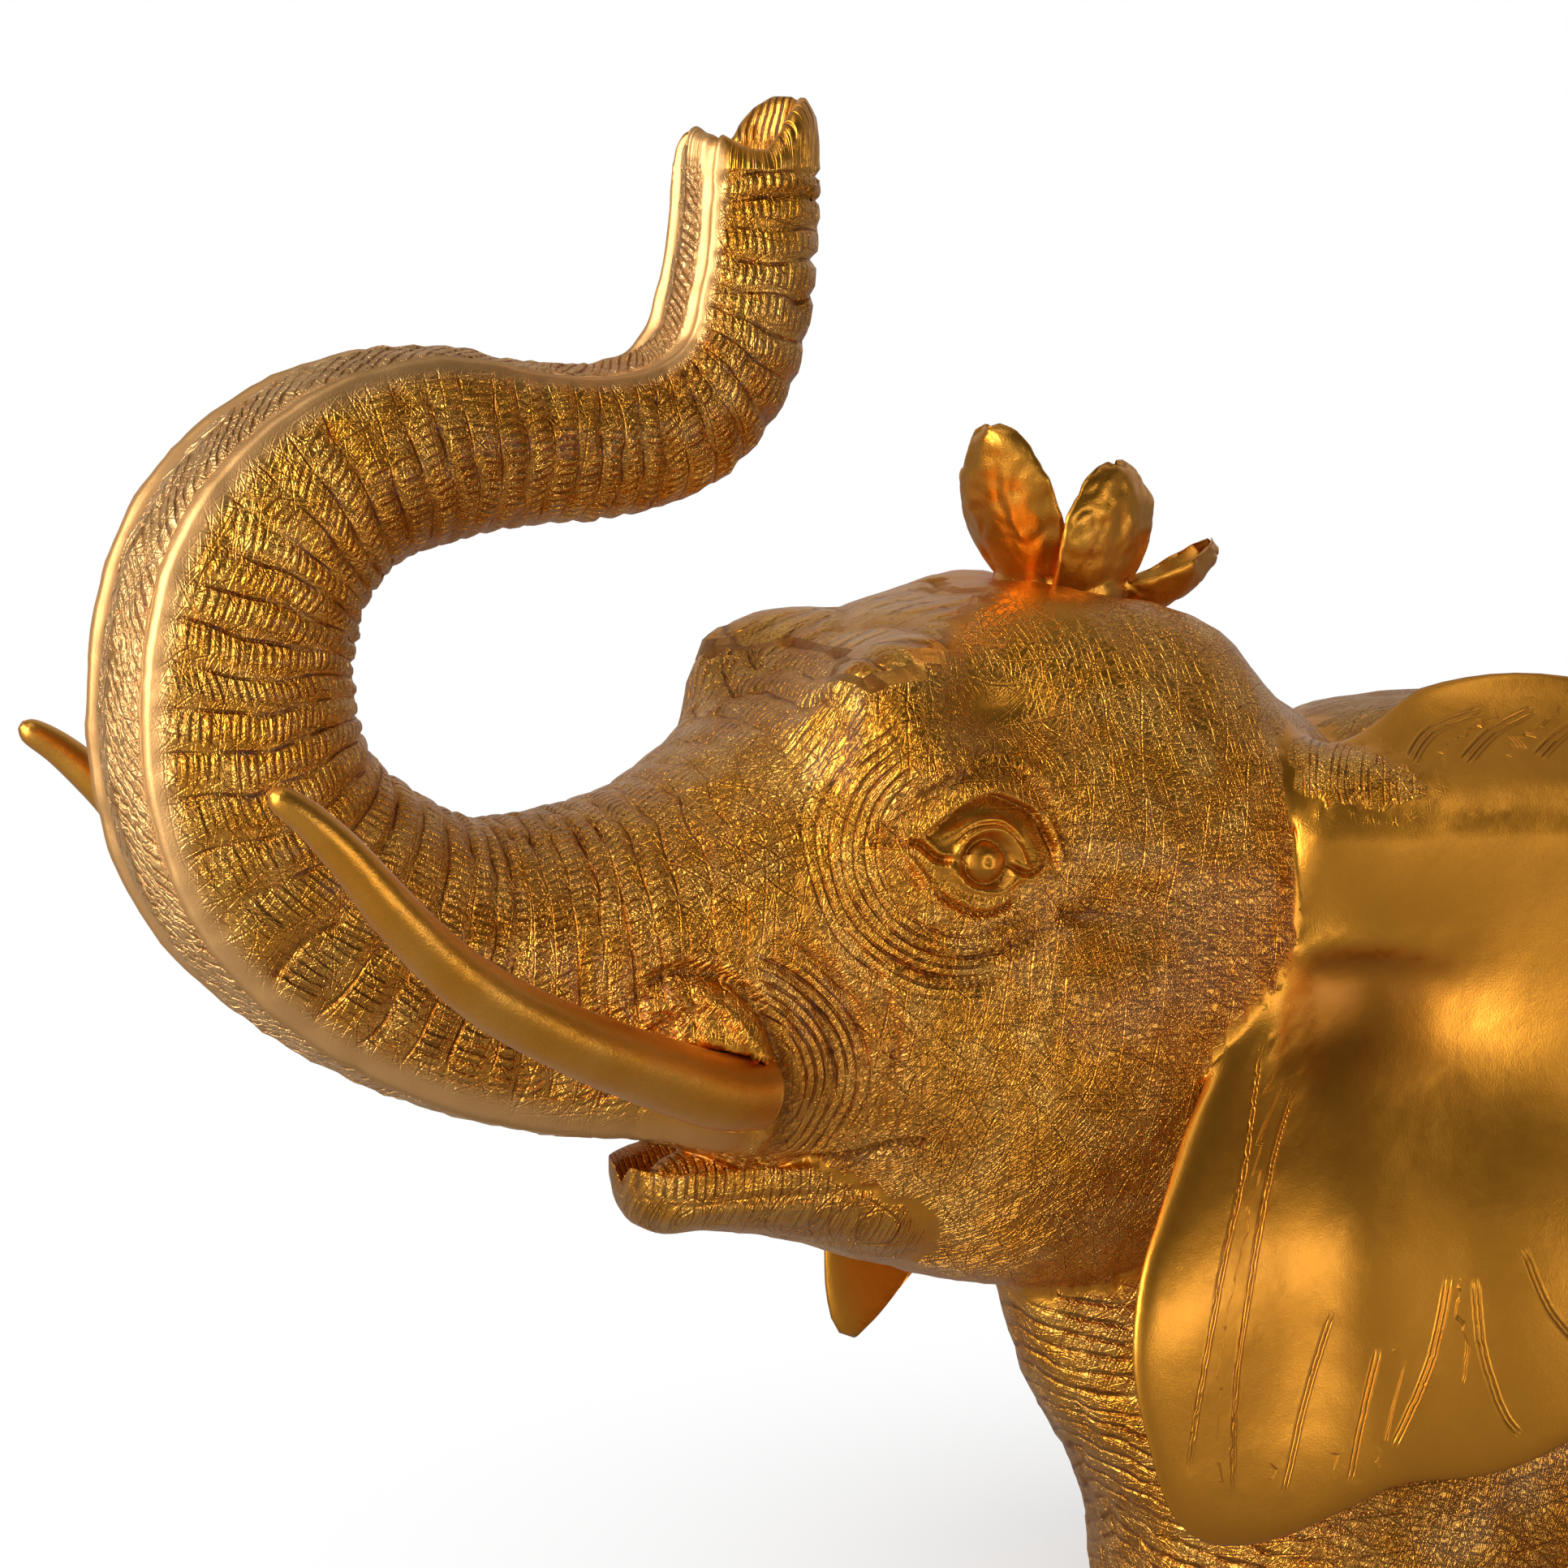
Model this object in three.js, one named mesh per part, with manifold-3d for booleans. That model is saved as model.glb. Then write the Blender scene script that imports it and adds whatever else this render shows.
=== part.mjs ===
// Bust of a trumpeting elephant: a gilded resin casting of head, raised trunk, ears, neck and chest,
// cut flat below, with two plug-in tusks and a flower glued on its crown.
// Millimetres, +Z up. The elephant looks along -X, and the origin is on the flat underside.

import * as THREE from "three";
import { mergeVertices } from "three/addons/utils/BufferGeometryUtils.js";
import Module from "manifold-3d";

const wasm = await Module();
wasm.setup();

// Driving sizes. The free forms below are drawn for a bust 350 mm high and follow HEIGHT.
const HEIGHT = 350;
const EAR_THICKNESS = 4.6;
const TUSK_DIAMETER = 17.5;
const TUSK_TIP_DIAMETER = 6;
const TUSK_PLUG_DEPTH = 13;
const PETAL_WIDTH = 23;
const PETAL_THICKNESS = 2.8;
const FLOWER_BASE_DIAMETER = 31;
const NOSTRIL_DEPTH = 13;
const FIT_GAP = 0.3;

const DRAWN_HEIGHT = 350;
const SCALE = HEIGHT / DRAWN_HEIGHT;

const GOLD = { color: 0xb07a24, roughness: 0.34, metalness: 1 };

// Stations of the head and trunk from nape to tip, in the plane of symmetry:
// x and z of the spine, reach to the dorsal and to the ventral side, half width,
// squareness of the section, and how far the flat ventral face of the trunk is developed.
const HEAD_AND_TRUNK = [
  [-34, 156, 32, 48, 32, 2.0, 0],
  [-48, 156, 47, 62, 45, 2.2, 0],
  [-64, 157, 57, 71, 53, 2.4, 0],
  [-82, 158, 68, 76, 57, 2.5, 0],
  [-103, 160, 76, 80, 58, 2.5, 0],
  [-126, 161, 83, 79, 57, 2.5, 0],
  [-147, 162, 77.5, 75, 54, 2.7, 0],
  [-165, 163, 70, 66, 51, 3.2, 0],
  [-181, 164, 58, 55, 47, 3.0, 0],
  [-197, 165, 45.5, 48, 42, 2.5, 0.1],
  [-215, 165, 35, 43, 37, 2.1, 0.4],
  [-236, 164, 32, 38, 33, 2.0, 0.8],
  [-259, 166, 30, 31.5, 30, 2.0, 1],
  [-281, 176, 30, 29.5, 27, 2.0, 1],
  [-299, 191, 30, 27.5, 25.5, 2.0, 1],
  [-308, 210, 29, 25.5, 24.5, 2.0, 1],
  [-309, 230, 28, 25, 24, 2.0, 1],
  [-303, 248, 25, 26.5, 23.5, 2.0, 1],
  [-293, 261, 22, 26, 23, 2.0, 1],
  [-280, 270.5, 20.5, 24, 22, 2.0, 1],
  [-262, 276.5, 21, 20.5, 21, 2.0, 1],
  [-243, 277.5, 19, 15.5, 19.5, 2.0, 1],
  [-222, 278, 18.5, 13, 18, 2.0, 1],
  [-205, 282, 18.5, 13.5, 17, 2.0, 1],
  [-194.5, 292, 18, 13, 16.5, 2.0, 1],
  [-189.5, 306, 17.7, 13, 16, 2.0, 1],
  [-187.5, 322, 17.2, 12.3, 15.5, 2.0, 1],
  [-187, 335, 17, 12, 15, 2.0, 1],
];
const RINGS_PER_STATION = 2;

// Squareness of the underside of the head, and the flat ventral face of the trunk: its share of
// the half width, the depth of the grooves along its edges and the swell between them.
const VENTRAL_SQUARENESS = 2.2;
const FACE_SHARE = 0.7;
const FACE_GROOVE = 1.4;
const FACE_SWELL = 2.2;

// Trunk tip: how far the dorsal finger and the ventral lip stand up above the saddle between them.
const FINGER_RISE = 11.5;
const FINGER_PEAK = 0.7;
const LIP_RISE = 8;
const TIP_WALL = 6;

// Stations of neck and chest from the flat underside upwards:
// z, x of the front and of the back, half width, squareness, narrowing towards the front.
const CHEST = [
  [0, -91, 118, 62, 2.4, 0.04],
  [18, -92, 120, 63, 2.4, 0.04],
  [34, -99, 120, 63, 2.4, 0.08],
  [58, -113, 119, 61, 2.4, 0.15],
  [84, -122, 116, 58, 2.3, 0.2],
  [114, -118, 110, 55, 2.3, 0.18],
  [144, -108, 100, 51, 2.2, 0.1],
  [168, -94, 86, 46, 2.2, 0.05],
  [186, -80, 66, 39, 2.1, 0],
  [200, -64, 44, 30, 2.0, 0],
  [207, -46, 18, 18, 2.0, 0],
  [210, -28, -4, 7, 2.0, 0],
];
const CHEST_RINGS_PER_STATION = 1.3;

// Stations of the lower jaw from its tip backwards: x, z of the rim, depth below it, half width.
const JAW = [
  [-217, 116, 7, 5],
  [-215, 116, 12.5, 11],
  [-209, 116, 16, 17],
  [-200, 117, 17, 22],
  [-189, 118, 19.5, 27],
  [-175, 119, 24, 32],
  [-157, 118, 29, 37],
  [-136, 116, 27, 34],
];
const JAW_SCOOP_SHARE = 0.55;

// Soft lumps and hollows on the skin: place (y counts on both sides), reach along x, y and z, and lift.
const SKIN_FORMS = [
  { name: "forehead bulge", at: [-170, 36, 220], reach: [17, 14, 15], lift: 13 },
  { name: "crown dome", at: [-92, 26, 228], reach: [26, 17, 18], lift: 5 },
  { name: "crown dip", at: [-118, 0, 243], reach: [26, 14, 16], lift: -3 },
  { name: "hollow above the eye", at: [-148, 47, 218], reach: [22, 16, 8], lift: -6 },
  { name: "brow", at: [-158, 53, 204], reach: [18, 14, 6], lift: 3 },
  { name: "eyeball", at: [-156, 56, 187], reach: [9, 12, 7], lift: 3 },
  { name: "temple", at: [-124, 58, 173], reach: [13, 14, 8], lift: -3.5 },
  { name: "cheek", at: [-132, 57, 138], reach: [26, 18, 22], lift: 4 },
  { name: "hollow of the muzzle", at: [-186, 44, 160], reach: [14, 14, 22], lift: -3 },
  { name: "tusk sheath", at: [-205, 38, 139], reach: [13, 14, 14], lift: 11 },
  { name: "sheath lip", at: [-199, 34, 121], reach: [12, 12, 9], lift: 5 },
];
const BODY_FORMS = [
  { name: "foreleg", at: [-52, 62, 8], reach: [28, 20, 40], lift: 7 },
  { name: "armpit", at: [-8, 62, 0], reach: [15, 16, 32], lift: -7 },
  { name: "shoulder blade", at: [-10, 56, 112], reach: [34, 22, 48], lift: 5 },
  { name: "flank", at: [56, 60, 30], reach: [36, 26, 46], lift: 4 },
];

// Outline of an ear seen from its side, as x and z, from the front of its top edge round the back.
const EAR_OUTLINE = [
  [-76, 198], [-60, 206], [-40, 217], [-16, 221], [12, 212], [35, 193], [48, 168],
  [50, 142], [43, 116], [27, 93], [5, 74], [-20, 61], [-33, 52], [-48, 46], [-64, 44],
  [-76, 38], [-92, 33], [-108, 34], [-119, 43], [-125, 58], [-129, 76], [-127, 94],
  [-119, 110], [-105, 131], [-90, 150], [-79, 168], [-77, 188],
];
const EAR_CENTRE = [-48, 138];
const EAR_SECTORS = 42;
const EAR_RINGS = 7;
const EAR_FLARE = 0.72;
const EAR_FOLDS = 9;
const EAR_FOLD_HEIGHT = 2.2;
const EAR_TOP_ROLL = 34;

// The ear on the +Y side is smaller and its lower front corner is drawn out to a point.
const SMALL_EAR_OUTLINE = [
  [-75, 195], [-58, 199], [-37, 199], [-14, 194], [10, 186], [32, 173], [45, 155],
  [48, 136], [40, 112], [24, 94], [2, 82], [-24, 75], [-50, 73], [-74, 75], [-94, 76],
  [-108, 70], [-117, 58], [-123, 53], [-128, 59], [-130, 76], [-127, 94],
  [-119, 110], [-105, 131], [-90, 150], [-79, 168], [-77, 186],
];

// The fleshy root that carries the ear out from the neck: centre and radius of its stations.
const EAR_ROOT = [
  [-82, 30, 192, 15],
  [-66, 42, 192, 15],
  [-48, 55, 190, 12.5],
  [-28, 69, 186, 10],
  [-4, 88, 180, 7],
  [16, 103, 172, 4],
];

// Centre line of a tusk, from its plug in the sheath to its tip.
const TUSK_LINE = [
  [-200, 36, 137],
  [-214, 42, 139],
  [-230, 48, 145],
  [-249, 55, 153],
  [-269, 61, 163],
  [-285.5, 66, 174],
  [-299.5, 69.5, 187],
  [-310, 71, 199],
  [-318.5, 71.5, 207.5],
  [-325, 71, 212.5],
];
const TUSK_TAPER = 1.4;
const RIGHT_TUSK_OFFSET = [-0.5, 6.5, -3];

// Flower: the seat and lean of its foot; then for each petal the middle of its foot, its tip,
// its share of the petal width and how deep it is cupped.
const FLOWER_SEAT = [-107, 0, 241];
const FLOWER_LEAN = 18;
const PETALS = [
  [[-119, -7, 242], [-133, -13, 277], 1.05, 4.5],
  [[-103, -11, 237], [-103, -18, 268], 1.35, 4.5],
  [[-94, -2, 231], [-69, -4, 245], 1, 9],
  [[-119, 8, 243], [-127, 11, 266], 0.85, 4.5],
  [[-108, 12, 240], [-109, 21, 257], 0.95, 4.5],
  [[-97, 8, 237], [-87, 18, 254], 0.95, 4.5],
];

const vec = (x, y, z) => new THREE.Vector3(x, y, z);

// A smooth step from 0 to 1.
function smooth(s) {
  const t = Math.min(1, Math.max(0, s));
  return t * t * (3 - 2 * t);
}

// A point at place t (0 to rows.length - 1) on the smooth curve through rows of numbers.
function along(rows, t) {
  const i = Math.min(Math.floor(t), rows.length - 2);
  const f = t - i;
  const at = (k) => rows[Math.max(0, Math.min(rows.length - 1, k))];
  const [a, b, c, d] = [at(i - 1), at(i), at(i + 1), at(i + 2)];
  return b.map(
    (_, k) =>
      b[k] +
      0.5 * f * (c[k] - a[k] +
        f * (2 * a[k] - 5 * b[k] + 4 * c[k] - d[k] + f * (3 * (b[k] - c[k]) + d[k] - a[k]))),
  );
}

// A closed body whose skin runs over equal rings of points and ends in a fan at each end.
function skin(rings) {
  const count = rings[0].length;
  const middle = (ring) => ring.reduce((sum, p) => sum.add(p), vec(0, 0, 0)).divideScalar(count);
  const points = [...rings.flat(), middle(rings[0]), middle(rings.at(-1))];
  const index = [];
  for (let r = 0; r + 1 < rings.length; r++)
    for (let k = 0; k < count; k++) {
      const next = (k + 1) % count;
      const [a, b] = [r * count + k, r * count + next];
      index.push(a, b, b + count, a, b + count, a + count);
    }
  const [first, last] = [points.length - 2, points.length - 1];
  const end = (rings.length - 1) * count;
  for (let k = 0; k < count; k++) {
    const next = (k + 1) % count;
    index.push(first, next, k, last, end + k, end + next);
  }
  return new THREE.BufferGeometry().setFromPoints(points).setIndex(index);
}

// Moves the skin in or out by the soft forms that reach it.
function sculpt(geometry, forms) {
  geometry.computeVertexNormals();
  const { position, normal } = geometry.attributes;
  const p = vec(0, 0, 0);
  const n = vec(0, 0, 0);
  for (let i = 0; i < position.count; i++) {
    p.fromBufferAttribute(position, i);
    n.fromBufferAttribute(normal, i);
    const lift = forms.reduce((sum, { at, reach, lift: height }) => {
      const [dx, dy, dz] = [p.x - at[0], Math.abs(p.y) - at[1], p.z - at[2]].map((d, k) => d / reach[k]);
      return sum + height * Math.exp(-(dx * dx + dy * dy + dz * dz));
    }, 0);
    position.setXYZ(i, ...p.addScaledVector(n, lift).toArray());
  }
  return geometry;
}

// A geometry as a solid that can be joined and cut, and back again.
function solid(geometry) {
  const bare = geometry.clone();
  for (const name of Object.keys(bare.attributes)) if (name !== "position") bare.deleteAttribute(name);
  const merged = mergeVertices(bare, 1e-4);
  const made = new wasm.Manifold(
    new wasm.Mesh({
      numProp: 3,
      vertProperties: Float32Array.from(merged.attributes.position.array),
      triVerts: Uint32Array.from(merged.index.array),
    }),
  );
  if (made.volume() > 0) return made;
  const turned = merged.index.array.slice().reverse();
  return new wasm.Manifold(
    new wasm.Mesh({
      numProp: 3,
      vertProperties: Float32Array.from(merged.attributes.position.array),
      triVerts: Uint32Array.from(turned),
    }),
  );
}

function geometryOf(body) {
  const { vertProperties, triVerts } = body.getMesh();
  const geometry = new THREE.BufferGeometry();
  geometry.setAttribute("position", new THREE.BufferAttribute(Float32Array.from(vertProperties), 3));
  geometry.setIndex(new THREE.BufferAttribute(Uint32Array.from(triVerts), 1));
  geometry.computeVertexNormals();
  return geometry;
}

const mirrored = (geometry) => geometry.clone().scale(1, -1, 1);
const toScale = (geometry) => geometry.scale(SCALE, SCALE, SCALE);
const pairOf = (geometry) => [geometry, mirrored(geometry)].map(solid);

// Section of head or trunk as [dorsal distance, y] pairs: a rounded body with, where the trunk is
// formed, a flat ventral face between two sharp edges.
function section(up, down, half, square, face) {
  const power = 2 / square;
  const under = 2 / VENTRAL_SQUARENESS;
  const flankSteps = 3;
  const faceSteps = 3;
  const dorsalSteps = 5;
  const side = [];
  for (let k = 0; k < dorsalSteps; k++) {
    const angle = (k / dorsalSteps) * (Math.PI / 2);
    side.push([up * Math.cos(angle) ** power, half * Math.sin(angle) ** power]);
  }
  for (let k = 0; k < flankSteps; k++) {
    const s = k / flankSteps;
    const angle = (s * 50 * Math.PI) / 180;
    const round = [-down * Math.sin(angle) ** under, half * Math.cos(angle) ** under];
    const flank = [
      -down * (1.2 * s * (1 - s) + s * s),
      half * ((1 - s) * (1 + s) + FACE_SHARE * s * s),
    ];
    side.push(round.map((v, i) => v + face * (flank[i] - v)));
  }
  for (let k = 0; k <= faceSteps; k++) {
    const s = k / faceSteps;
    const angle = ((50 + 40 * s) * Math.PI) / 180;
    const round = [-down * Math.sin(angle) ** under, half * Math.max(0, Math.cos(angle)) ** under];
    const dip = FACE_GROOVE * Math.sin(Math.PI * Math.min(1, 2 * s));
    const flat = [-down + dip - FACE_SWELL * s * s, half * FACE_SHARE * (1 - s)];
    side.push(round.map((v, i) => v + face * (flat[i] - v)));
  }
  const other = side.slice(1, -1).reverse().map(([n, y]) => [n, -y]);
  return [...side, ...other];
}

// Head and trunk as one skin, with the open end of the trunk hollowed into a nostril.
function headAndTrunk() {
  const last = HEAD_AND_TRUNK.length - 1;
  const steps = last * RINGS_PER_STATION;
  const frameAt = (t) => {
    const [x, z] = along(HEAD_AND_TRUNK, t);
    const [ax, az] = along(HEAD_AND_TRUNK, Math.max(0, t - 0.05));
    const [bx, bz] = along(HEAD_AND_TRUNK, Math.min(last, t + 0.05));
    const ahead = vec(bx - ax, 0, bz - az).normalize();
    return { centre: vec(x, 0, z), ahead, dorsal: vec(ahead.z, 0, -ahead.x) };
  };
  const ringAt = (t, shrink = 0, lift = () => 0) => {
    const { centre, ahead, dorsal } = frameAt(t);
    const [, , up, down, half, square, face] = along(HEAD_AND_TRUNK, t);
    return section(up - shrink, down - shrink, half - shrink, square, face).map(([n, y]) =>
      centre.clone().addScaledVector(dorsal, n).add(vec(0, y, 0)).addScaledVector(ahead, lift(n, up, down)),
    );
  };
  const rim = (n, up, down) => {
    if (n <= 0) return LIP_RISE * (-n / (down + FACE_SWELL)) ** 2;
    const share = n / up / FINGER_PEAK;
    const fall = 0.6 * Math.max(0, share - 1);
    return FINGER_RISE * (Math.sin((Math.min(1, share) * Math.PI) / 2) ** 1.3 - fall);
  };
  const rings = [];
  for (let k = 0; k <= steps; k++) rings.push(ringAt((k / steps) * last));
  const mouth = [
    [TIP_WALL * 0.15, 1.5, 0.8],
    [TIP_WALL * 0.6, 4, 1],
    [TIP_WALL, 1.5, 0.9],
    [TIP_WALL * 1.3, -NOSTRIL_DEPTH / 2, 0],
    [TIP_WALL * 1.7, -NOSTRIL_DEPTH, 0],
  ];
  for (const [inset, height, share] of mouth)
    rings.push(ringAt(last, inset, (...place) => height + share * rim(...place)));
  return sculpt(skin(rings), SKIN_FORMS);
}

// Neck and chest: level rings from the flat underside to the withers.
function neckAndChest() {
  const last = CHEST.length - 1;
  const steps = Math.round(last * CHEST_RINGS_PER_STATION);
  const around = 32;
  const rings = [];
  for (let k = 0; k <= steps; k++) {
    const [z, front, back, half, square, narrowing] = along(CHEST, (k / steps) * last);
    const [middle, reach] = [(front + back) / 2, (back - front) / 2];
    const ring = [];
    for (let j = 0; j < around; j++) {
      const angle = (2 * Math.PI * j) / around;
      const [c, s] = [Math.cos(angle), Math.sin(angle)];
      const x = Math.sign(c) * Math.abs(c) ** (2 / square);
      const y = Math.sign(s) * Math.abs(s) ** (2 / square);
      ring.push(vec(middle + reach * x, half * y * (1 - narrowing * (1 - x)), z));
    }
    rings.push(ring);
  }
  const geometry = sculpt(skin(rings), BODY_FORMS);
  const { position } = geometry.attributes;
  for (let i = 0; i < around; i++) position.setZ(i, 0);
  position.setZ(position.count - 2, 0);
  return geometry;
}

// Lower jaw: a scoop whose lip rims stand above the hollow between them.
function lowerJaw() {
  const last = JAW.length - 1;
  const steps = last * 2;
  const under = 10;
  const over = 6;
  const rings = [];
  for (let k = 0; k <= steps; k++) {
    const [x, rim, depth, half] = along(JAW, (k / steps) * last);
    const ring = [];
    for (let j = 0; j <= under; j++) {
      const angle = (Math.PI * j) / under;
      ring.push(vec(x, half * Math.cos(angle), rim - depth * Math.sin(angle) ** 0.8));
    }
    for (let j = 1; j < over; j++) {
      const share = 1 - (2 * j) / over;
      ring.push(vec(x, -half * 0.86 * share, rim - depth * JAW_SCOOP_SHARE * (1 - share * share)));
    }
    rings.push(ring);
  }
  return skin(rings);
}

// How far out from the plane of symmetry the middle of the ear sheet lies at x and z.
function earDistance(x, z) {
  const low = 1 / (1 + Math.exp((z - 122) / 12));
  const base = 51 + 22 * low;
  const run = x + 72;
  const flare = EAR_FLARE * 0.5 * (run + Math.hypot(run, 14));
  const bowl = 7 * Math.exp(-(((x + 52) / 18) ** 2) - ((z - 150) / 20) ** 2);
  const [ax, az] = [x + 62, z - 190];
  const angle = Math.atan2(ax, -az);
  const away = Math.min(1, Math.max(0, (Math.hypot(ax, az) - 30) / 90));
  const folds = EAR_FOLD_HEIGHT * away * Math.sin(EAR_FOLDS * angle);
  const topRoll = EAR_TOP_ROLL * smooth((z - 188) / 34);
  return base + flare * (1 - 0.35 * low) - bowl + folds - topRoll;
}

// An ear on the +Y side: a sheet of even thickness inside its outline, thinned to a rounded rim.
function ear(points) {
  const placed = points.map(([x, z]) => vec(x, 0, z));
  const outline = new THREE.CatmullRomCurve3(placed, true).getSpacedPoints(EAR_SECTORS).slice(0, -1);
  const centre = vec(EAR_CENTRE[0], 0, EAR_CENTRE[1]);
  const half = (0.6 * EAR_THICKNESS) / SCALE;
  const ringAt = (share, side) =>
    outline.map((p) => {
      const q = centre.clone().lerp(p, share);
      const thinned = half * Math.sqrt(Math.max(0, 1 - share ** 14));
      return vec(q.x, earDistance(q.x, q.z) + side * thinned, q.z);
    });
  const shares = Array.from({ length: EAR_RINGS }, (_, k) => ((k + 1) / EAR_RINGS) ** 0.8).slice(0, -1);
  const rings = [
    ...shares.map((s) => ringAt(s, -1)),
    ringAt(0.975, -1),
    ringAt(1, 0),
    ringAt(0.975, 1),
    ...shares.map((s) => ringAt(s, 1)).reverse(),
  ];
  return skin(rings);
}

// A round bar along a line of [x, y, z, radius] stations, ended by a blunt cap.
function bar(stations, around, ringsPerStation) {
  const last = stations.length - 1;
  const steps = last * ringsPerStation;
  const rings = [];
  for (let k = 0; k <= steps; k++) {
    const t = (k / steps) * last;
    const [x, y, z, radius] = along(stations, t);
    const before = along(stations, Math.max(0, t - 0.05));
    const after = along(stations, Math.min(last, t + 0.05));
    const ahead = vec(after[0] - before[0], after[1] - before[1], after[2] - before[2]).normalize();
    const sideways = vec(0, 0, 1).cross(ahead).normalize();
    const upward = ahead.clone().cross(sideways);
    rings.push(
      Array.from({ length: around }, (_, j) => {
        const angle = (2 * Math.PI * j) / around;
        return vec(x, y, z)
          .addScaledVector(sideways, radius * Math.cos(angle))
          .addScaledVector(upward, radius * Math.sin(angle));
      }),
    );
  }
  return skin(rings);
}

const earRoot = () => bar(EAR_ROOT, 12, 2);

// The tusk on the +Y side with its plug, or with a positive gap the socket that takes it.
function tusk(offset, gap) {
  const root = TUSK_DIAMETER / SCALE / 2;
  const tip = TUSK_TIP_DIAMETER / SCALE / 2;
  const last = TUSK_LINE.length - 1;
  const line = TUSK_LINE.map(([x, y, z], k) => {
    const s = k / last;
    const [dx, dy, dz] = offset.map((d) => d * s * s);
    return [x + dx, y + dy, z + dz, root - (root - tip) * s ** TUSK_TAPER + gap];
  });
  const [plug, mouth] = line;
  const inward = vec(plug[0] - mouth[0], plug[1] - mouth[1], plug[2] - mouth[2]).normalize();
  const end = vec(...mouth.slice(0, 3)).addScaledVector(inward, TUSK_PLUG_DEPTH / SCALE + gap);
  line[0] = [end.x, end.y, end.z, root + gap];
  const beyond = line.at(-1);
  const before = line.at(-2);
  const ahead = vec(beyond[0] - before[0], beyond[1] - before[1], beyond[2] - before[2]).normalize();
  const nose = vec(...beyond.slice(0, 3)).addScaledVector(ahead, tip * 0.9);
  line.push([nose.x, nose.y, nose.z, tip * 0.4]);
  return bar(line, 10, 2);
}

// A petal from its foot to its tip: a leaf with a blunt point, cupped towards the flower's middle.
function petal(footAt, tipAt, widthShare, cup) {
  const rows = 5;
  const columns = 4;
  const foot = vec(...footAt);
  const middle = vec(FLOWER_SEAT[0], FLOWER_SEAT[1], footAt[2]);
  const length = vec(...tipAt).sub(foot);
  const outward = foot.clone().sub(middle).normalize();
  outward.addScaledVector(length, -outward.dot(length) / length.lengthSq()).normalize();
  const across = outward.clone().cross(length).normalize();
  const widest = (PETAL_WIDTH / SCALE / 2) * widthShare;
  const halfWidth = (s) =>
    widest * Math.min(1, (1.05 - s) / 0.55) ** 0.8 * (0.9 + 0.1 * Math.sin(Math.PI * s));
  const face = (side) =>
    Array.from({ length: rows + 1 }, (_, i) => {
      const s = i / rows;
      const half = (PETAL_THICKNESS / SCALE / 2) * (1.2 - 0.4 * s);
      return Array.from({ length: columns + 1 }, (_, j) => {
        const c = (2 * j) / columns - 1;
        const edge = Math.abs(c) === 1 ? 0.3 : 1;
        const back = 2.5 * Math.sin(Math.PI * s) - cup * c * c * (1 - 0.5 * s) + side * half * edge;
        return foot
          .clone()
          .addScaledVector(length, s)
          .addScaledVector(across, halfWidth(s) * c)
          .addScaledVector(outward, back);
      });
    });
  const [inner, outer] = [face(-1), face(1)];
  return skin(inner.map((line, i) => [...line, ...outer[i].slice().reverse()]));
}

// The flower: petals standing round the edge of a shallow foot, with a boss in the middle.
function flower() {
  const base = FLOWER_BASE_DIAMETER / SCALE / 2;
  const profile = [
    [0, -8],
    [base, -8],
    [base, 1],
    [base * 0.8, 3],
    [0, 4],
  ];
  const turned = profile.map(([x, y]) => new THREE.Vector2(x, y));
  const foot = new THREE.LatheGeometry(turned, 14).rotateX(Math.PI / 2);
  const boss = new THREE.SphereGeometry(base * 0.36, 8, 6).translate(0, 0, 6);
  const middle = [foot, boss].map((piece) =>
    piece.rotateY((FLOWER_LEAN * Math.PI) / 180).translate(...FLOWER_SEAT),
  );
  const leaves = PETALS.map((place) => petal(...place));
  return wasm.Manifold.union([...middle, ...leaves].map((piece) => solid(toScale(piece))));
}

const casting = wasm.Manifold.union([
  solid(toScale(headAndTrunk())),
  solid(toScale(neckAndChest())),
  solid(toScale(lowerJaw())),
  solid(mirrored(toScale(ear(EAR_OUTLINE)))),
  solid(toScale(ear(SMALL_EAR_OUTLINE))),
  ...pairOf(toScale(earRoot())),
]);
const tuskPair = (gap) => [
  solid(mirrored(toScale(tusk([0, 0, 0], gap)))),
  solid(toScale(tusk(RIGHT_TUSK_OFFSET, gap))),
];
const bust = tuskPair(FIT_GAP / SCALE).reduce((body, socket) => body.subtract(socket), casting);
const [tuskLeft, tuskRight] = tuskPair(0);
const blossom = flower().subtract(bust.translate([0, 0, FIT_GAP]));

function mesh(name, body) {
  const made = new THREE.Mesh(geometryOf(body), new THREE.MeshStandardMaterial(GOLD));
  made.name = name;
  return made;
}

const group = new THREE.Group();
group.add(
  mesh("bust", bust),
  mesh("tusk_left", tuskLeft),
  mesh("tusk_right", tuskRight),
  mesh("flower", blossom),
);

export default group;
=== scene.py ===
"""Gilded resin bust of a trumpeting elephant: its carved skin, tusks, flower, finish, light and view.

Forms are drawn in millimetres in the frame's own axes and become metres when a mesh is made.
"""

import itertools
import math

import bmesh
import bpy
import numpy as np
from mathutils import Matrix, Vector
from mathutils.bvhtree import BVHTree


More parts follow.
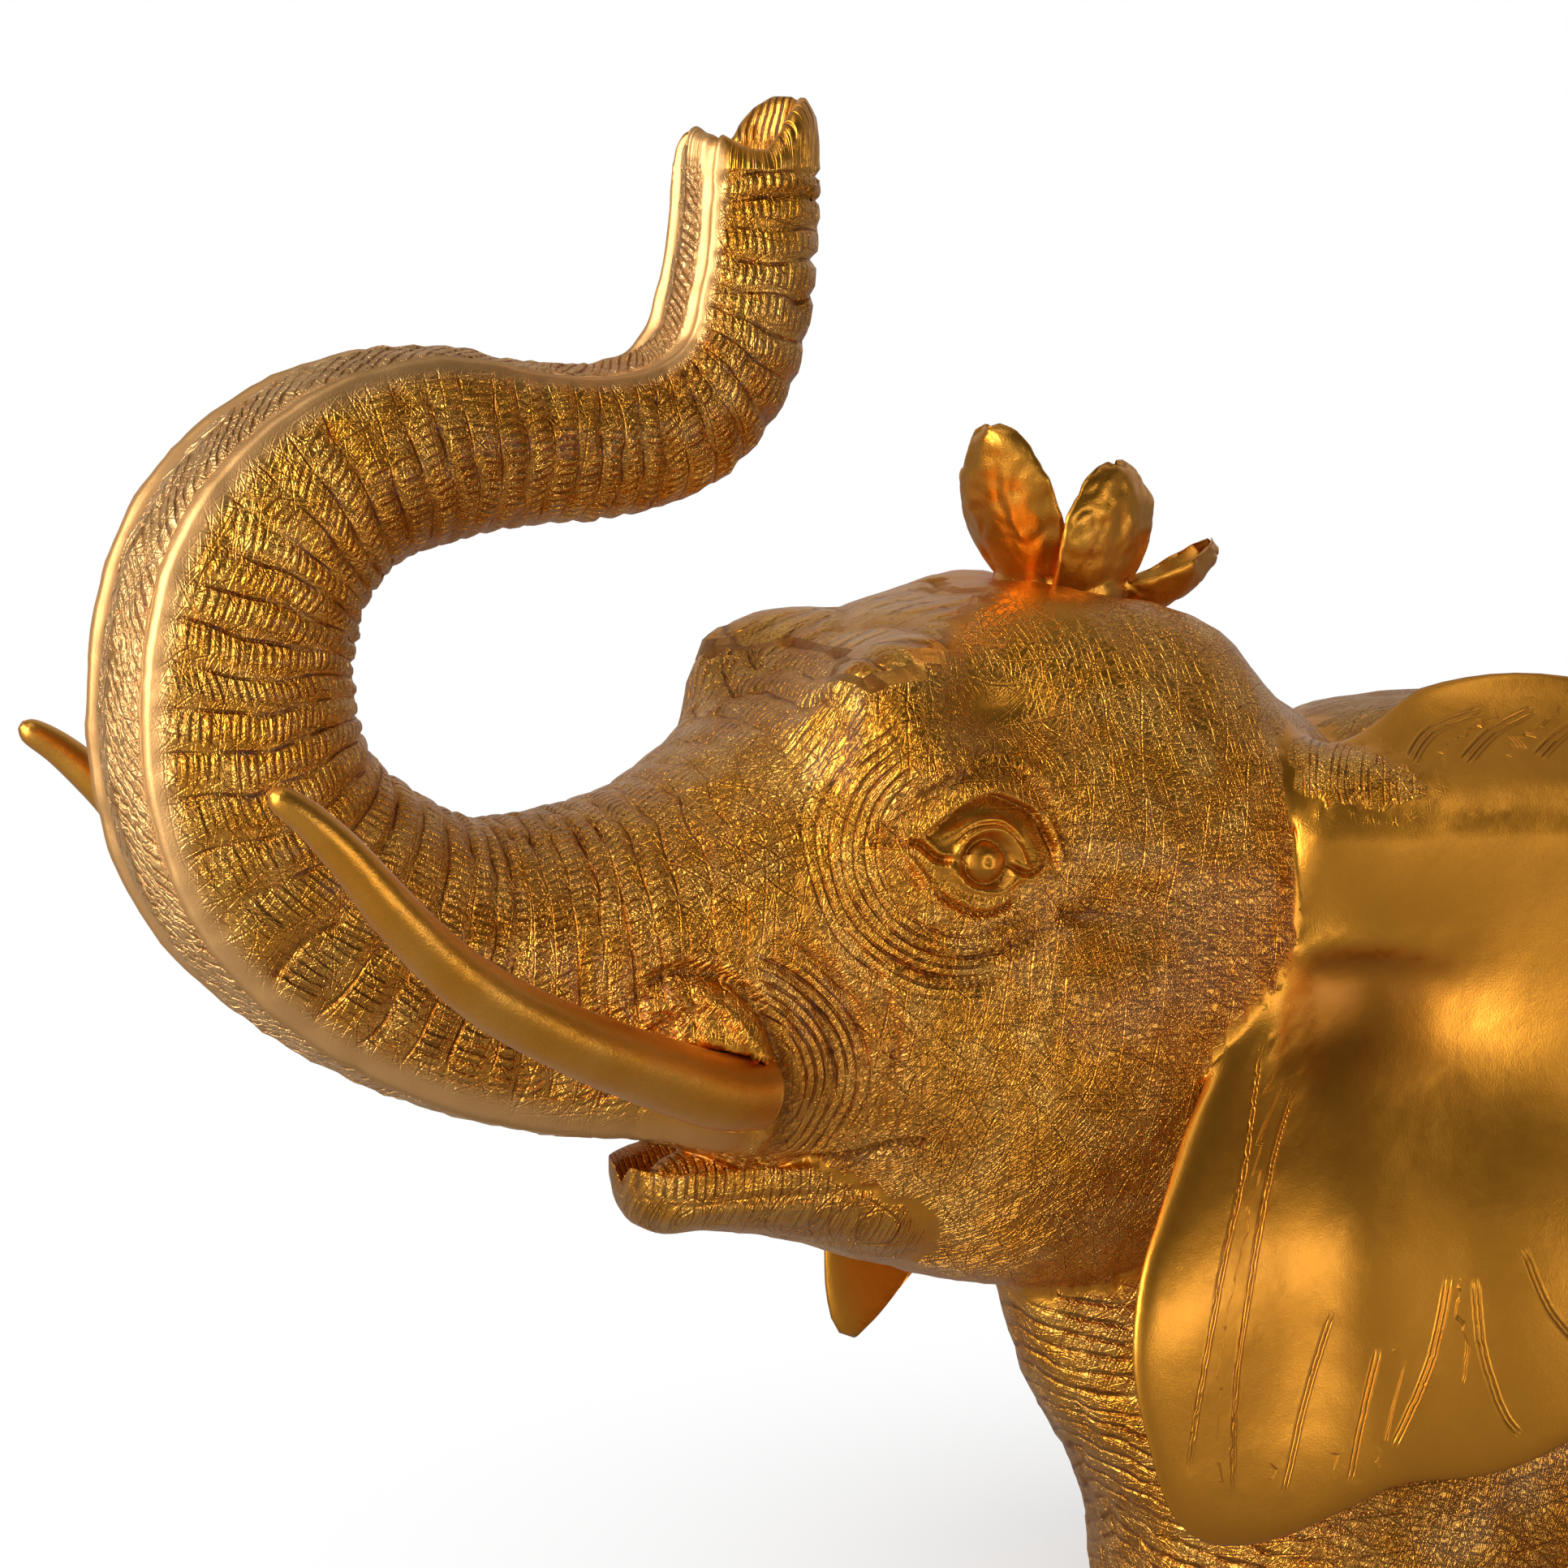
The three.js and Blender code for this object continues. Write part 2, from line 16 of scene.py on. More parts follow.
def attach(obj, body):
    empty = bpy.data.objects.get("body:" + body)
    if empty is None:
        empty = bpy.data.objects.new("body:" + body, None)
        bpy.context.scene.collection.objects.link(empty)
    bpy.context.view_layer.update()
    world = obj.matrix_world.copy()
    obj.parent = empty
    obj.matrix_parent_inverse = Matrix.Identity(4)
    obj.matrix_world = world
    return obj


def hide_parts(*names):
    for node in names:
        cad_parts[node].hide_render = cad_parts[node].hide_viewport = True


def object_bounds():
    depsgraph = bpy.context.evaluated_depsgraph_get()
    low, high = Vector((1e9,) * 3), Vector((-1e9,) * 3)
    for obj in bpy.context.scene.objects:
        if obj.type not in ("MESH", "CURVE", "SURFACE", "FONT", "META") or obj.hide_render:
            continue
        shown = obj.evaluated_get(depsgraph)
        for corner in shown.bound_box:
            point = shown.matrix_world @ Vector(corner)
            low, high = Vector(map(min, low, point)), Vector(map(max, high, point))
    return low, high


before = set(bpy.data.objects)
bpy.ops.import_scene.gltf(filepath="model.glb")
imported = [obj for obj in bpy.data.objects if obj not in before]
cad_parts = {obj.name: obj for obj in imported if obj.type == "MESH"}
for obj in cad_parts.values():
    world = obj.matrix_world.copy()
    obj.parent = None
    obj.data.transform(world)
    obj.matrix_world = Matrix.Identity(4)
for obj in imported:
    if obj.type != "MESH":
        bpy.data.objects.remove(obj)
cad_box = [list(corner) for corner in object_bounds()]

MM = 0.001

# Driving sizes.
EAR_THICKNESS = 4.6
TUSK_DIAMETER = 17.5
TUSK_TIP_DIAMETER = 6
TUSK_PLUG_DEPTH = 13
PETAL_WIDTH = 23
PETAL_THICKNESS = 2.8
FLOWER_BASE_DIAMETER = 31
NOSTRIL_DEPTH = 13
FIT_GAP = 0.3

# Stations of the head and trunk from nape to tip: x and z of the spine, reach to the dorsal and to
# the ventral side, half width, squareness, and how far the flat ventral face is developed.
HEAD_AND_TRUNK = [
    [-34, 156, 32, 48, 32, 2.0, 0],
    [-48, 156, 47, 62, 45, 2.2, 0],
    [-64, 157, 57, 71, 53, 2.4, 0],
    [-82, 158, 68, 76, 57, 2.5, 0],
    [-103, 160, 76, 80, 58, 2.5, 0],
    [-126, 161, 83, 79, 57, 2.5, 0],
    [-147, 162, 77.5, 75, 54, 2.7, 0],
    [-165, 163, 70, 66, 51, 3.2, 0],
    [-181, 164, 58, 55, 47, 3.0, 0],
    [-197, 165, 45.5, 48, 42, 2.5, 0.1],
    [-215, 165, 35, 43, 37, 2.1, 0.4],
    [-236, 164, 32, 38, 33, 2.0, 0.8],
    [-259, 166, 30, 31.5, 30, 2.0, 1],
    [-281, 176, 30, 29.5, 27, 2.0, 1],
    [-299, 191, 30, 27.5, 25.5, 2.0, 1],
    [-308, 210, 29, 25.5, 24.5, 2.0, 1],
    [-309, 230, 28, 25, 24, 2.0, 1],
    [-303, 248, 25, 26.5, 23.5, 2.0, 1],
    [-293, 261, 22, 26, 23, 2.0, 1],
    [-280, 270.5, 20.5, 24, 22, 2.0, 1],
    [-262, 276.5, 21, 20.5, 21, 2.0, 1],
    [-243, 277.5, 19, 15.5, 19.5, 2.0, 1],
    [-222, 278, 18.5, 13, 18, 2.0, 1],
    [-205, 282, 18.5, 13.5, 17, 2.0, 1],
    [-194.5, 292, 18, 13, 16.5, 2.0, 1],
    [-189.5, 306, 17.7, 13, 16, 2.0, 1],
    [-187.5, 322, 17.2, 12.3, 15.5, 2.0, 1],
    [-187, 335, 17, 12, 15, 2.0, 1],
]
RING_SPACING = 1.7
VENTRAL_SQUARENESS = 2.2
FACE_SHARE = 0.7
FACE_GROOVE = 1.4
FACE_SWELL = 2.2
FACE_ANGLE = 50
DORSAL_COLUMNS = 29
FLANK_COLUMNS = 15
FACE_COLUMNS = 15

# Trunk tip: dorsal finger, ventral lip, and the hollow between them as inset, height and share.
FINGER_RISE = 11.5
FINGER_PEAK = 0.7
LIP_RISE = 8
TIP_WALL = 6
TIP_MOUTH = [
    [0, 0, 0],
    [TIP_WALL * 0.15, 1.5, 0.8],
    [TIP_WALL * 0.6, 4, 1],
    [TIP_WALL, 1.5, 0.9],
    [TIP_WALL * 1.3, -NOSTRIL_DEPTH / 2, 0],
    [TIP_WALL * 1.7, -NOSTRIL_DEPTH, 0],
]
TIP_MOUTH_RINGS = 26

# Stations of neck and chest upwards: z, x of front and back, half width, squareness, narrowing.
CHEST = [
    [0, -91, 118, 62, 2.4, 0.04],
    [18, -92, 120, 63, 2.4, 0.04],
    [34, -99, 120, 63, 2.4, 0.08],
    [58, -113, 119, 61, 2.4, 0.15],
    [84, -122, 116, 58, 2.3, 0.2],
    [114, -118, 110, 55, 2.3, 0.18],
    [144, -108, 100, 51, 2.2, 0.1],
    [168, -94, 86, 46, 2.2, 0.05],
    [186, -80, 66, 39, 2.1, 0],
    [200, -64, 44, 30, 2.0, 0],
    [207, -46, 18, 18, 2.0, 0],
    [210, -28, -4, 7, 2.0, 0],
]
CHEST_RINGS = 42
CHEST_COLUMNS = 104

# Stations of the lower jaw from its tip backwards: x, z of the rim, depth below it, half width.
JAW = [
    [-217, 116, 7, 5],
    [-215, 116, 12.5, 11],
    [-209, 116, 16, 17],
    [-200, 117, 17, 22],
    [-189, 118, 19.5, 27],
    [-175, 119, 24, 32],
    [-157, 118, 29, 37],
    [-136, 116, 27, 34],
]
JAW_SCOOP_SHARE = 0.55
TONGUE = [
    [-209, 0, 107, 3],
    [-205, 0, 109, 7],
    [-196, 0, 110, 10],
    [-182, 0, 111, 12],
    [-165, 0, 113, 13],
]

# Soft lumps and hollows: place (y counts on both sides), reach along x, y and z, and lift.
SKIN_FORMS = {
    "forehead bulge": ([-170, 36, 220], [17, 14, 15], 13),
    "crown dome": ([-92, 26, 228], [26, 17, 18], 5),
    "crown dip": ([-118, 0, 243], [26, 14, 16], -3),
    "hollow above the eye": ([-148, 47, 218], [22, 16, 8], -6),
    "brow": ([-158, 53, 204], [18, 14, 6], 3),
    "eyeball": ([-156, 56, 187], [9, 12, 7], 3),
    "temple": ([-124, 58, 173], [13, 14, 8], -3.5),
    "cheek": ([-132, 57, 138], [26, 18, 22], 4),
    "hollow of the muzzle": ([-186, 44, 160], [14, 14, 22], -3),
    "tusk sheath": ([-210, 39, 138], [14, 14, 15], 12),
    "sheath lip": ([-205, 35, 121], [12, 12, 9], 6.5),
}
BODY_FORMS = {
    "foreleg": ([-52, 62, 8], [28, 20, 40], 7),
    "armpit": ([-8, 62, 0], [15, 16, 32], -7),
    "shoulder blade": ([-10, 56, 112], [34, 22, 48], 5),
    "flank": ([56, 60, 30], [36, 26, 46], 4),
}

# Outlines of the ears seen from the side, as x and z, from the front of the top edge round the back.
EAR_OUTLINE = [
    [-76, 198], [-60, 206], [-40, 217], [-16, 221], [12, 212], [35, 193], [48, 168],
    [50, 142], [43, 116], [27, 93], [5, 74], [-20, 61], [-33, 52], [-48, 46], [-64, 44],
    [-76, 38], [-92, 33], [-108, 34], [-119, 43], [-125, 58], [-129, 76], [-127, 94],
    [-119, 110], [-105, 131], [-90, 150], [-79, 168], [-77, 188],
]  # fmt: skip
SMALL_EAR_OUTLINE = [
    [-75, 195], [-58, 199], [-37, 199], [-14, 194], [10, 186], [32, 173], [45, 155],
    [48, 136], [40, 112], [24, 94], [2, 82], [-24, 75], [-50, 73], [-74, 75], [-94, 76],
    [-108, 70], [-117, 58], [-123, 53], [-128, 59], [-130, 76], [-127, 94],
    [-119, 110], [-105, 131], [-90, 150], [-79, 168], [-77, 186],
]  # fmt: skip
EAR_CENTRE = [-48, 138]
EAR_SECTORS = 124
EAR_RINGS = 18
EAR_FLARE = 0.72
EAR_FOLDS = 9
EAR_FOLD_HEIGHT = 2.2
EAR_TOP_ROLL = 34
EAR_ROOT = [
    [-82, 30, 192, 15],
    [-66, 42, 192, 15],
    [-48, 55, 190, 12.5],
    [-28, 69, 186, 10],
    [-4, 88, 180, 7],
    [16, 103, 172, 4],
]

TUSK_LINE = [
    [-200, 36, 137],
    [-214, 42, 139],
    [-230, 48, 145],
    [-249, 55, 153],
    [-269, 61, 163],
    [-285.5, 66, 174],
    [-299.5, 69.5, 187],
    [-310, 71, 199],
    [-318.5, 71.5, 207.5],
    [-325, 71, 212.5],
]
TUSK_TAPER = 1.4
RIGHT_TUSK_OFFSET = [-0.5, 6.5, -3]

# Flower: seat and lean; each petal's foot, tip, share of the petal width and depth of its cup.
FLOWER_SEAT = [-107, 0, 241]
FLOWER_LEAN = 18
PETALS = [
    [[-119, -7, 242], [-133, -13, 277], 1.05, 4.5],
    [[-103, -11, 237], [-103, -18, 268], 1.35, 4.5],
    [[-94, -2, 231], [-69, -4, 245], 1, 9],
    [[-119, 8, 243], [-127, 11, 266], 0.85, 4.5],
    [[-108, 12, 240], [-109, 21, 257], 0.95, 4.5],
    [[-97, 8, 237], [-87, 18, 254], 0.95, 4.5],
]

# Carved lines round the eye, in millimetres back and up from the middle of the eyeball:
# points, half width, height (below zero for a groove), and for a fold the width of the hollow inside it.
EYE = [-154, 186.3]
EYE_LINES = {
    "brow shelf": (
        [[-24, 8], [-14.5, 15.6], [-6.5, 19.6], [1.6, 21.6], [8.4, 21.2], [14, 16], [17, 9]],
        0.9, 1.5, 4.5,
    ),
    "lid fold": (
        [[-14, 5.5], [-8.4, 10.3], [-2.4, 14.0], [2.6, 14.6], [8, 12.6], [12.6, 9.8], [15.6, 3], [17, -3]],
        0.7, 2.7, 3.6,
    ),
    "lid crease": ([[-11, 4.4], [-4.6, 7.9], [-0.5, 9.2], [4.2, 8.6], [8.6, 5.2]], 0.8, 0.75),
    "upper lid": (
        [[-7.4, 1.6], [-4.4, 5.2], [-0.4, 6.9], [4.0, 6.3], [7.4, 2.8], [10.2, -3.2]], 0.85, 1.7,
    ),
    "upper lid groove": ([[-6.4, 4.6], [-3.8, 7.0], [0, 8.1], [4.6, 7.6], [8.8, 3.6]], 0.45, -0.6),
    "lower lid": (
        [[-8.4, 0.2], [-6.8, -2.6], [-4.2, -5.1], [-0.6, -6.3], [3.0, -6.4], [6.4, -4.6], [9.4, -3.3]],
        0.85, 1.3,
    ),
    "front corner": ([[-26, 5.2], [-21.6, 4.8], [-15, 4.6], [-11, 1.2], [-7.6, 0.8]], 0.7, -2.2),
    "front fold": ([[-22, 4.0], [-17.4, 2.2], [-15, -0.8], [-13.2, -3.6], [-10.6, -5.4]], 0.75, 1.1),
    "under the front fold": ([[-19, 1.2], [-16.6, -2], [-14.2, -5]], 0.9, -0.9),
    "bag": ([[-9.2, -4.4], [-5.6, -7.6], [-1, -8.7], [3.6, -8.2], [6.6, -6.6]], 1.0, 0.7),
    "bag edge": (
        [[-11.4, -5.6], [-8.2, -8.4], [-4, -10.6], [0, -11.3], [4.4, -10.1], [6.4, -8.6]], 0.65, -1.6,
    ),
    "rear corner": ([[5.9, -0.9], [8.8, -2.9], [11.6, -2.8], [14.2, -1.4]], 0.55, -1.6),
    "rear fold": ([[13.6, 10], [15.0, 5.4], [16.8, 0.4]], 0.6, -1.2),
    "second rear fold": ([[16.4, 9], [17.8, 4.4], [19, 0]], 0.6, -0.8),
    "second fold": (
        [[-19, -10.6], [-14.2, -14.1], [-8.2, -15.4], [-3, -15.8], [4.4, -13.8], [12, -12.0]], 0.7, -1.0,
    ),
    "third fold": (
        [[-17.8, -13.8], [-13.4, -17.8], [-7.4, -20.2], [-0.4, -20.8], [6, -18.9], [13.6, -15.2]],
        0.8, -1.6,
    ),
    "cheek fold": (
        [[-22, -19.6], [-16.8, -22.4], [-10.8, -25], [-4.4, -26.4], [3.8, -26.4]], 0.9, -1.8,
    ),
    "crease over the brow": (
        [[-4, 21.6], [2.4, 23.4], [7.6, 23.2], [12.2, 21.4], [16.4, 18.4]], 0.75, -1.3,
    ),
    "temple crease": ([[17, -12.0], [24, -13.2], [31, -12.2]], 1.2, -1.3),
}
EYE_ARC_MIDDLE = [-5, 3]
EYE_ARC_PITCH = 2.3
SHEATH_ARC_PITCH = 2.2
SHEATH_MIDDLE = [-211, 137]

# The eye: radii of ball, socket and pupil, rise of the ball, and depth of the socket and the pupil.
EYEBALL_RADIUS = 5.2
SOCKET_RADIUS = 6.2
PUPIL_RADIUS = 0.8
EYEBALL_RISE = 2.6
SOCKET_DEPTH = 2.2
PUPIL_DEPTH = 0.5

# Soft spots seen from the side: their middle, and their reach, along x and z.
PLAIN_SHEATH_SPOT = [[-211, 136], [14, 17]]
SMEAR_SPOT = [[-122, 241], [22, 13]]
DIP_SPOT = [[-146, 219], [17, 8]]
EAR_BOWL_SPOT = [[-52, 150], [18, 20]]
EAR_BOWL_DEPTH = 2.6

# Fine lines on the ears as x and z, drawn by the finish: double-edged veins, strokes near the top.
EAR_VEINS = [
    [[-88, 143], [-97, 120], [-107, 97], [-113, 74], [-116, 52]],
    [[-81, 134], [-92, 115], [-99, 96], [-104, 72], [-104, 44]],
    [[-79, 84], [-86, 64], [-91, 44]],
    [[-69, 76], [-73, 58], [-75, 46]],
    [[-55, 92], [-59, 72], [-66, 53]],
    [[-50, 92], [-49, 76], [-45, 62], [-41, 56]],
    [[-40, 98], [-35, 84], [-26, 73]],
    [[-26, 120], [-16, 104], [0, 88]],
    [[-8, 140], [8, 124], [26, 112]],
    [[-50, 203], [-42, 209], [-31, 213]],
    [[-40, 203], [-31, 209], [-21, 213.5]],
    [[-26, 204], [-18, 209], [-11, 212]],
]
VEIN_REACH = 2.6

# Soft folds of the ear near its root: points, half width, height.
EAR_LINES = {
    "edge of the bowl": ([[-81, 161], [-80, 148], [-82, 136]], 2.2, -1.2),
    "front pleat": ([[-82, 172], [-84, 162], [-79, 152]], 2.2, 2.0),
    "top of the bowl": ([[-80, 163], [-62, 163], [-42, 161]], 2.4, 1.4),
}

# Lines round the tusk sheath and the mouth as x and z, on both sides of the muzzle.
MUZZLE_LINES = {
    "sheath rim": (
        [[-229, 151], [-223, 157], [-214, 158], [-207, 151], [-203, 141], [-200, 130], [-200, 120]],
        1.6, 2.2,
    ),
    "crease behind the rim": (
        [[-230, 158], [-222, 164], [-211, 163], [-203, 156], [-198, 144], [-195, 131], [-195, 120]],
        1.6, -2.4,
    ),
    "first cheek fold": ([[-203, 168], [-192, 160], [-186, 146], [-186, 130]], 1.1, -1.2),
    "second cheek fold": ([[-196, 172], [-186, 163], [-180, 148], [-180, 134]], 1.1, -1.1),
    "third cheek fold": ([[-188, 174], [-178, 164], [-173, 148], [-174, 136]], 1.1, -0.9),
    "mouth corner": ([[-190, 119], [-180, 120], [-168, 124], [-158, 123]], 1.3, -2.2),
    "under lip": ([[-212, 109], [-196, 110], [-180, 111], [-166, 113]], 1.2, -0.8),
}
MUZZLE_BEADS = 2.6

# How fine the skin's mesh is, as an edge length in millimetres, where a carving needs it.
PLAIN_EDGE = 4.6
LID_EDGE = 0.65
EYE_EDGE = 1.6
VEIN_EDGE = 1.5
MUZZLE_EDGE = 1.6
ROOT_EDGE = 2.4
TIP_EDGE = 1.3
NECK_EDGE = 3.2
FLOWER_EDGE = 1.1
EDGE_TOLERANCE = 1.45
MOST_SPLITS = 6

# Columns and rings of the round bars, and the flower's boss as a share of its foot, and its height.
ROOT_GRID = [40, 60]
SOCKET_GRID = [40, 90]
TONGUE_GRID = [30, 40]
TUSK_GRID = [56, 150]
BOSS_SHARE = 0.36
BOSS_HEIGHT = 6

# How far inside the solid's box the skin is held, and how low a point counts as part of the foot.
BOX_MARGIN = 0.05
FOOT_REACH = 0.3
FOOT_TOUCH = 0.05


def smooth_step(value):
    """A smooth step from 0 to 1."""
    share = np.clip(value, 0, 1)
    return share * share * (3 - 2 * share)


def soft_spot(x, z, spot):
    """A spot seen from the side: 1 in its middle, fading over its reach along x and z."""
    (middle_x, middle_z), (reach_x, reach_z) = spot
    return np.exp(-(((x - middle_x) / reach_x) ** 2) - ((z - middle_z) / reach_z) ** 2)


def along(rows, place):
    """The values at each place (0 to the last row's number) on the smooth curve through the rows."""
    rows = np.asarray(rows, float)
    place = np.atleast_1d(place)
    low = np.clip(np.floor(place).astype(int), 0, len(rows) - 2)
    part = (place - low)[:, None]
    a, b, c, d = (rows[np.clip(low + step, 0, len(rows) - 1)] for step in (-1, 0, 1, 2))
    bend = 2 * a - 5 * b + 4 * c - d + part * (3 * (b - c) + d - a)
    return b + 0.5 * part * (c - a + part * bend)


def evenly(line, count):
    """A line of points cut into equal steps; the last point is left to the line that follows."""
    run = np.concatenate([[0], np.cumsum(np.linalg.norm(np.diff(line, axis=0), axis=1))])
    stops = np.linspace(0, run[-1], count + 1)[:-1]
    return np.stack([np.interp(stops, run, line[:, k]) for k in range(line.shape[1])], axis=1)


def noise(points, size, seed=0):
    """Smooth noise from -1 to 1 with lumps of the given size."""
    cell = np.asarray(points) / size
    low = np.floor(cell).astype(np.int64)
    part = cell - low
    part = part * part * (3 - 2 * part)
    total = np.zeros(len(cell))
    for corner in itertools.product((0, 1), repeat=3):
        key = (low + corner) @ np.array([73856093, 19349663, 83492791]) + seed * 982451653
        key = (key ^ (key >> 13)) * 1274126177
        value = ((key ^ (key >> 16)) & 0xFFFF) / 32767.5 - 1
        total += value * np.prod(np.where(corner, part, 1 - part), axis=1)
    return total


def shell(rings):
    """A closed body whose skin runs over equal rings of points and ends in a fan at each end."""
    rings = np.asarray(rings, float)
    rows, count, _ = rings.shape
    points = np.vstack([rings.reshape(-1, 3), rings[0].mean(axis=0), rings[-1].mean(axis=0)])
    row, column = np.meshgrid(np.arange(rows - 1), np.arange(count), indexing="ij")
    a = (row * count + column).ravel()
    b = (row * count + (column + 1) % count).ravel()
    side = np.stack([np.stack([a, b, b + count], 1), np.stack([a, b + count, a + count], 1)], 1)
    first, last = len(points) - 2, len(points) - 1
    here = np.arange(count)
    ahead = (here + 1) % count
    end = (rows - 1) * count
    start_fan = np.stack([np.full(count, first), ahead, here], 1)
    end_fan = np.stack([np.full(count, last), end + here, end + ahead], 1)
    triangles = np.vstack([side.reshape(-1, 3), start_fan, end_fan])
    return outward(points, triangles)


def outward(points, triangles):
    """The same body with its faces turned to point out."""
    a, b, c = (points[triangles[:, k]] for k in range(3))
    volume = np.einsum("ij,ij->i", a, np.cross(b, c)).sum()
    return (points, triangles) if volume > 0 else (points, triangles[:, ::-1])


def mirrored(body):
    points, triangles = body
    return points * [1, -1, 1], triangles[:, ::-1]


def normals_of(points, triangles):
    a, b, c = (points[triangles[:, k]] for k in range(3))
    face = np.cross(b - a, c - a)
    total = np.zeros_like(points)
    for corner in range(3):
        for axis in range(3):
            total[:, axis] += np.bincount(triangles[:, corner], face[:, axis], len(points))
    return total / np.maximum(np.linalg.norm(total, axis=1, keepdims=True), 1e-12)


def edges_of(triangles):
    """Each edge once, and for each side of each triangle the number of its edge."""
    pairs = np.sort(triangles[:, [[0, 1], [1, 2], [2, 0]]], axis=2).reshape(-1, 2)
    stride = triangles.max() + 1
    keys, which = np.unique(pairs[:, 0] * stride + pairs[:, 1], return_inverse=True)
    return np.stack([keys // stride, keys % stride], 1), which.reshape(-1, 3)


def smoothed(values, triangles, rounds, share=0.5, keep=None):
    """Values on the points, each moved towards the mean of its neighbours; keep holds some back."""
    edges, _ = edges_of(triangles)
    values = np.array(values, float)
    flat = values.reshape(len(values), -1)
    ends = np.concatenate([edges, edges[:, ::-1]])
    degree = np.maximum(np.bincount(ends[:, 0], minlength=len(flat)), 1)[:, None]
    free = 1 if keep is None else (1 - keep)[:, None]
    for _ in range(rounds):
        mean = np.stack(
            [np.bincount(ends[:, 0], flat[ends[:, 1], k], len(flat)) for k in range(flat.shape[1])], 1
        )
        flat = flat + share * free * (mean / degree - flat)
    return flat.reshape(values.shape)


def split(triangles, marks):
    """Triangles cut at the marked middles of their sides; a side that isn't cut is marked -1."""
    cuts = (marks >= 0).sum(axis=1)
    made = [triangles[cuts == 0]]

    def add(rows, turn, *corners):
        t = np.roll(triangles[rows], -turn, axis=1)
        m = np.roll(marks[rows], -turn, axis=1)
        names = {"a": t[:, 0], "b": t[:, 1], "c": t[:, 2], "d": m[:, 0], "e": m[:, 1], "f": m[:, 2]}
        for corner in corners:
            made.append(np.stack([names[letter] for letter in corner], 1))

    for turn in range(3):
        add((cuts == 1) & (marks[:, turn] >= 0), turn, "adc", "dbc")
        add((cuts == 2) & (marks[:, turn] < 0), turn + 1, "dbe", "ade", "aec")
    add(cuts == 3, 0, "adf", "dbe", "fec", "def")
    return np.vstack(made)


def refined(points, triangles, edge_at):
    """The mesh with its sides halved until they are as short as asked for where they lie."""
    for _ in range(MOST_SPLITS):
        edges, which = edges_of(triangles)
        ends = points[edges]
        middles = ends.mean(axis=1)
        long = np.linalg.norm(ends[:, 0] - ends[:, 1], axis=1) > EDGE_TOLERANCE * edge_at(middles)
        if not long.any():
            break
        number = np.full(len(edges), -1)
        number[long] = len(points) + np.arange(long.sum())
        points = np.vstack([points, middles[long]])
        triangles = split(triangles, number[which])
    return points, triangles


def sculpted(body, forms):
    """The body with its skin moved in or out by the soft forms that reach it."""
    points, triangles = body
    folded = points * [1, 1, 1]
    folded[:, 1] = np.abs(folded[:, 1])
    lift = sum(
        height * np.exp(-(((folded - place) / reach) ** 2).sum(axis=1))
        for place, reach, height in forms.values()
    )
    return points + normals_of(points, triangles) * lift[:, None], triangles


def section(up, down, half, square, face):
    """Section of head or trunk as dorsal distance and y: rounded, with a flat ventral face."""
    power = 2 / square
    under = 2 / VENTRAL_SQUARENESS
    angle = np.linspace(0, math.pi / 2, 60)
    dorsal = np.stack([up * np.abs(np.cos(angle)) ** power, half * np.sin(angle) ** power], 1)
    s = np.linspace(0, 1, 40)

    def rounded(degrees):
        turn = np.radians(degrees)
        return np.stack([-down * np.sin(turn) ** under, half * np.abs(np.cos(turn)) ** under], 1)

    flank = np.stack([-down * (1.2 * s * (1 - s) + s * s), half * (1 - s * s + FACE_SHARE * s * s)], 1)
    dip = FACE_GROOVE * np.sin(math.pi * np.minimum(1, 2 * s))
    flat = np.stack([-down + dip - FACE_SWELL * s * s, half * FACE_SHARE * (1 - s)], 1)
    round_flank = rounded(FACE_ANGLE * s)
    round_flat = rounded(FACE_ANGLE + (90 - FACE_ANGLE) * s)
    side = np.vstack([
        evenly(dorsal, DORSAL_COLUMNS),
        evenly(round_flank + face * (flank - round_flank), FLANK_COLUMNS),
        evenly(round_flat + face * (flat - round_flat), FACE_COLUMNS),
        [[-down - face * FACE_SWELL, 0]],
    ])
    return np.vstack([side, side[-2:0:-1] * [1, -1]])


def spine_at(place):
    """Centre, direction ahead and dorsal direction of the head-and-trunk spine, in x and z."""
    last = len(HEAD_AND_TRUNK) - 1
    centre = along(HEAD_AND_TRUNK, place)[:, :2]
    before = along(HEAD_AND_TRUNK, np.maximum(0, place - 0.05))[:, :2]
    after = along(HEAD_AND_TRUNK, np.minimum(last, place + 0.05))[:, :2]
    ahead = (after - before) / np.linalg.norm(after - before, axis=1, keepdims=True)
    return centre, ahead, np.stack([ahead[:, 1], -ahead[:, 0]], 1)


def spine_run():
    """Places spread along the spine, and how far along it each lies."""
    place = np.linspace(0, len(HEAD_AND_TRUNK) - 1, 900)
    centre, _, _ = spine_at(place)
    steps = np.linalg.norm(np.diff(centre, axis=0), axis=1)
    return place, centre, np.concatenate([[0], np.cumsum(steps)])


def tip_rise(n, up, down):
    """How far the rim of the trunk tip stands up at a dorsal distance n."""
    share = np.maximum(n, 0) / up / FINGER_PEAK
    fall = 0.6 * np.maximum(0, share - 1)
    finger = FINGER_RISE * (np.sin(np.minimum(1, share) * math.pi / 2) ** 1.3 - fall)
    lip = LIP_RISE * (np.minimum(n, 0) / (down + FACE_SWELL)) ** 2
    return np.where(n > 0, finger, lip)


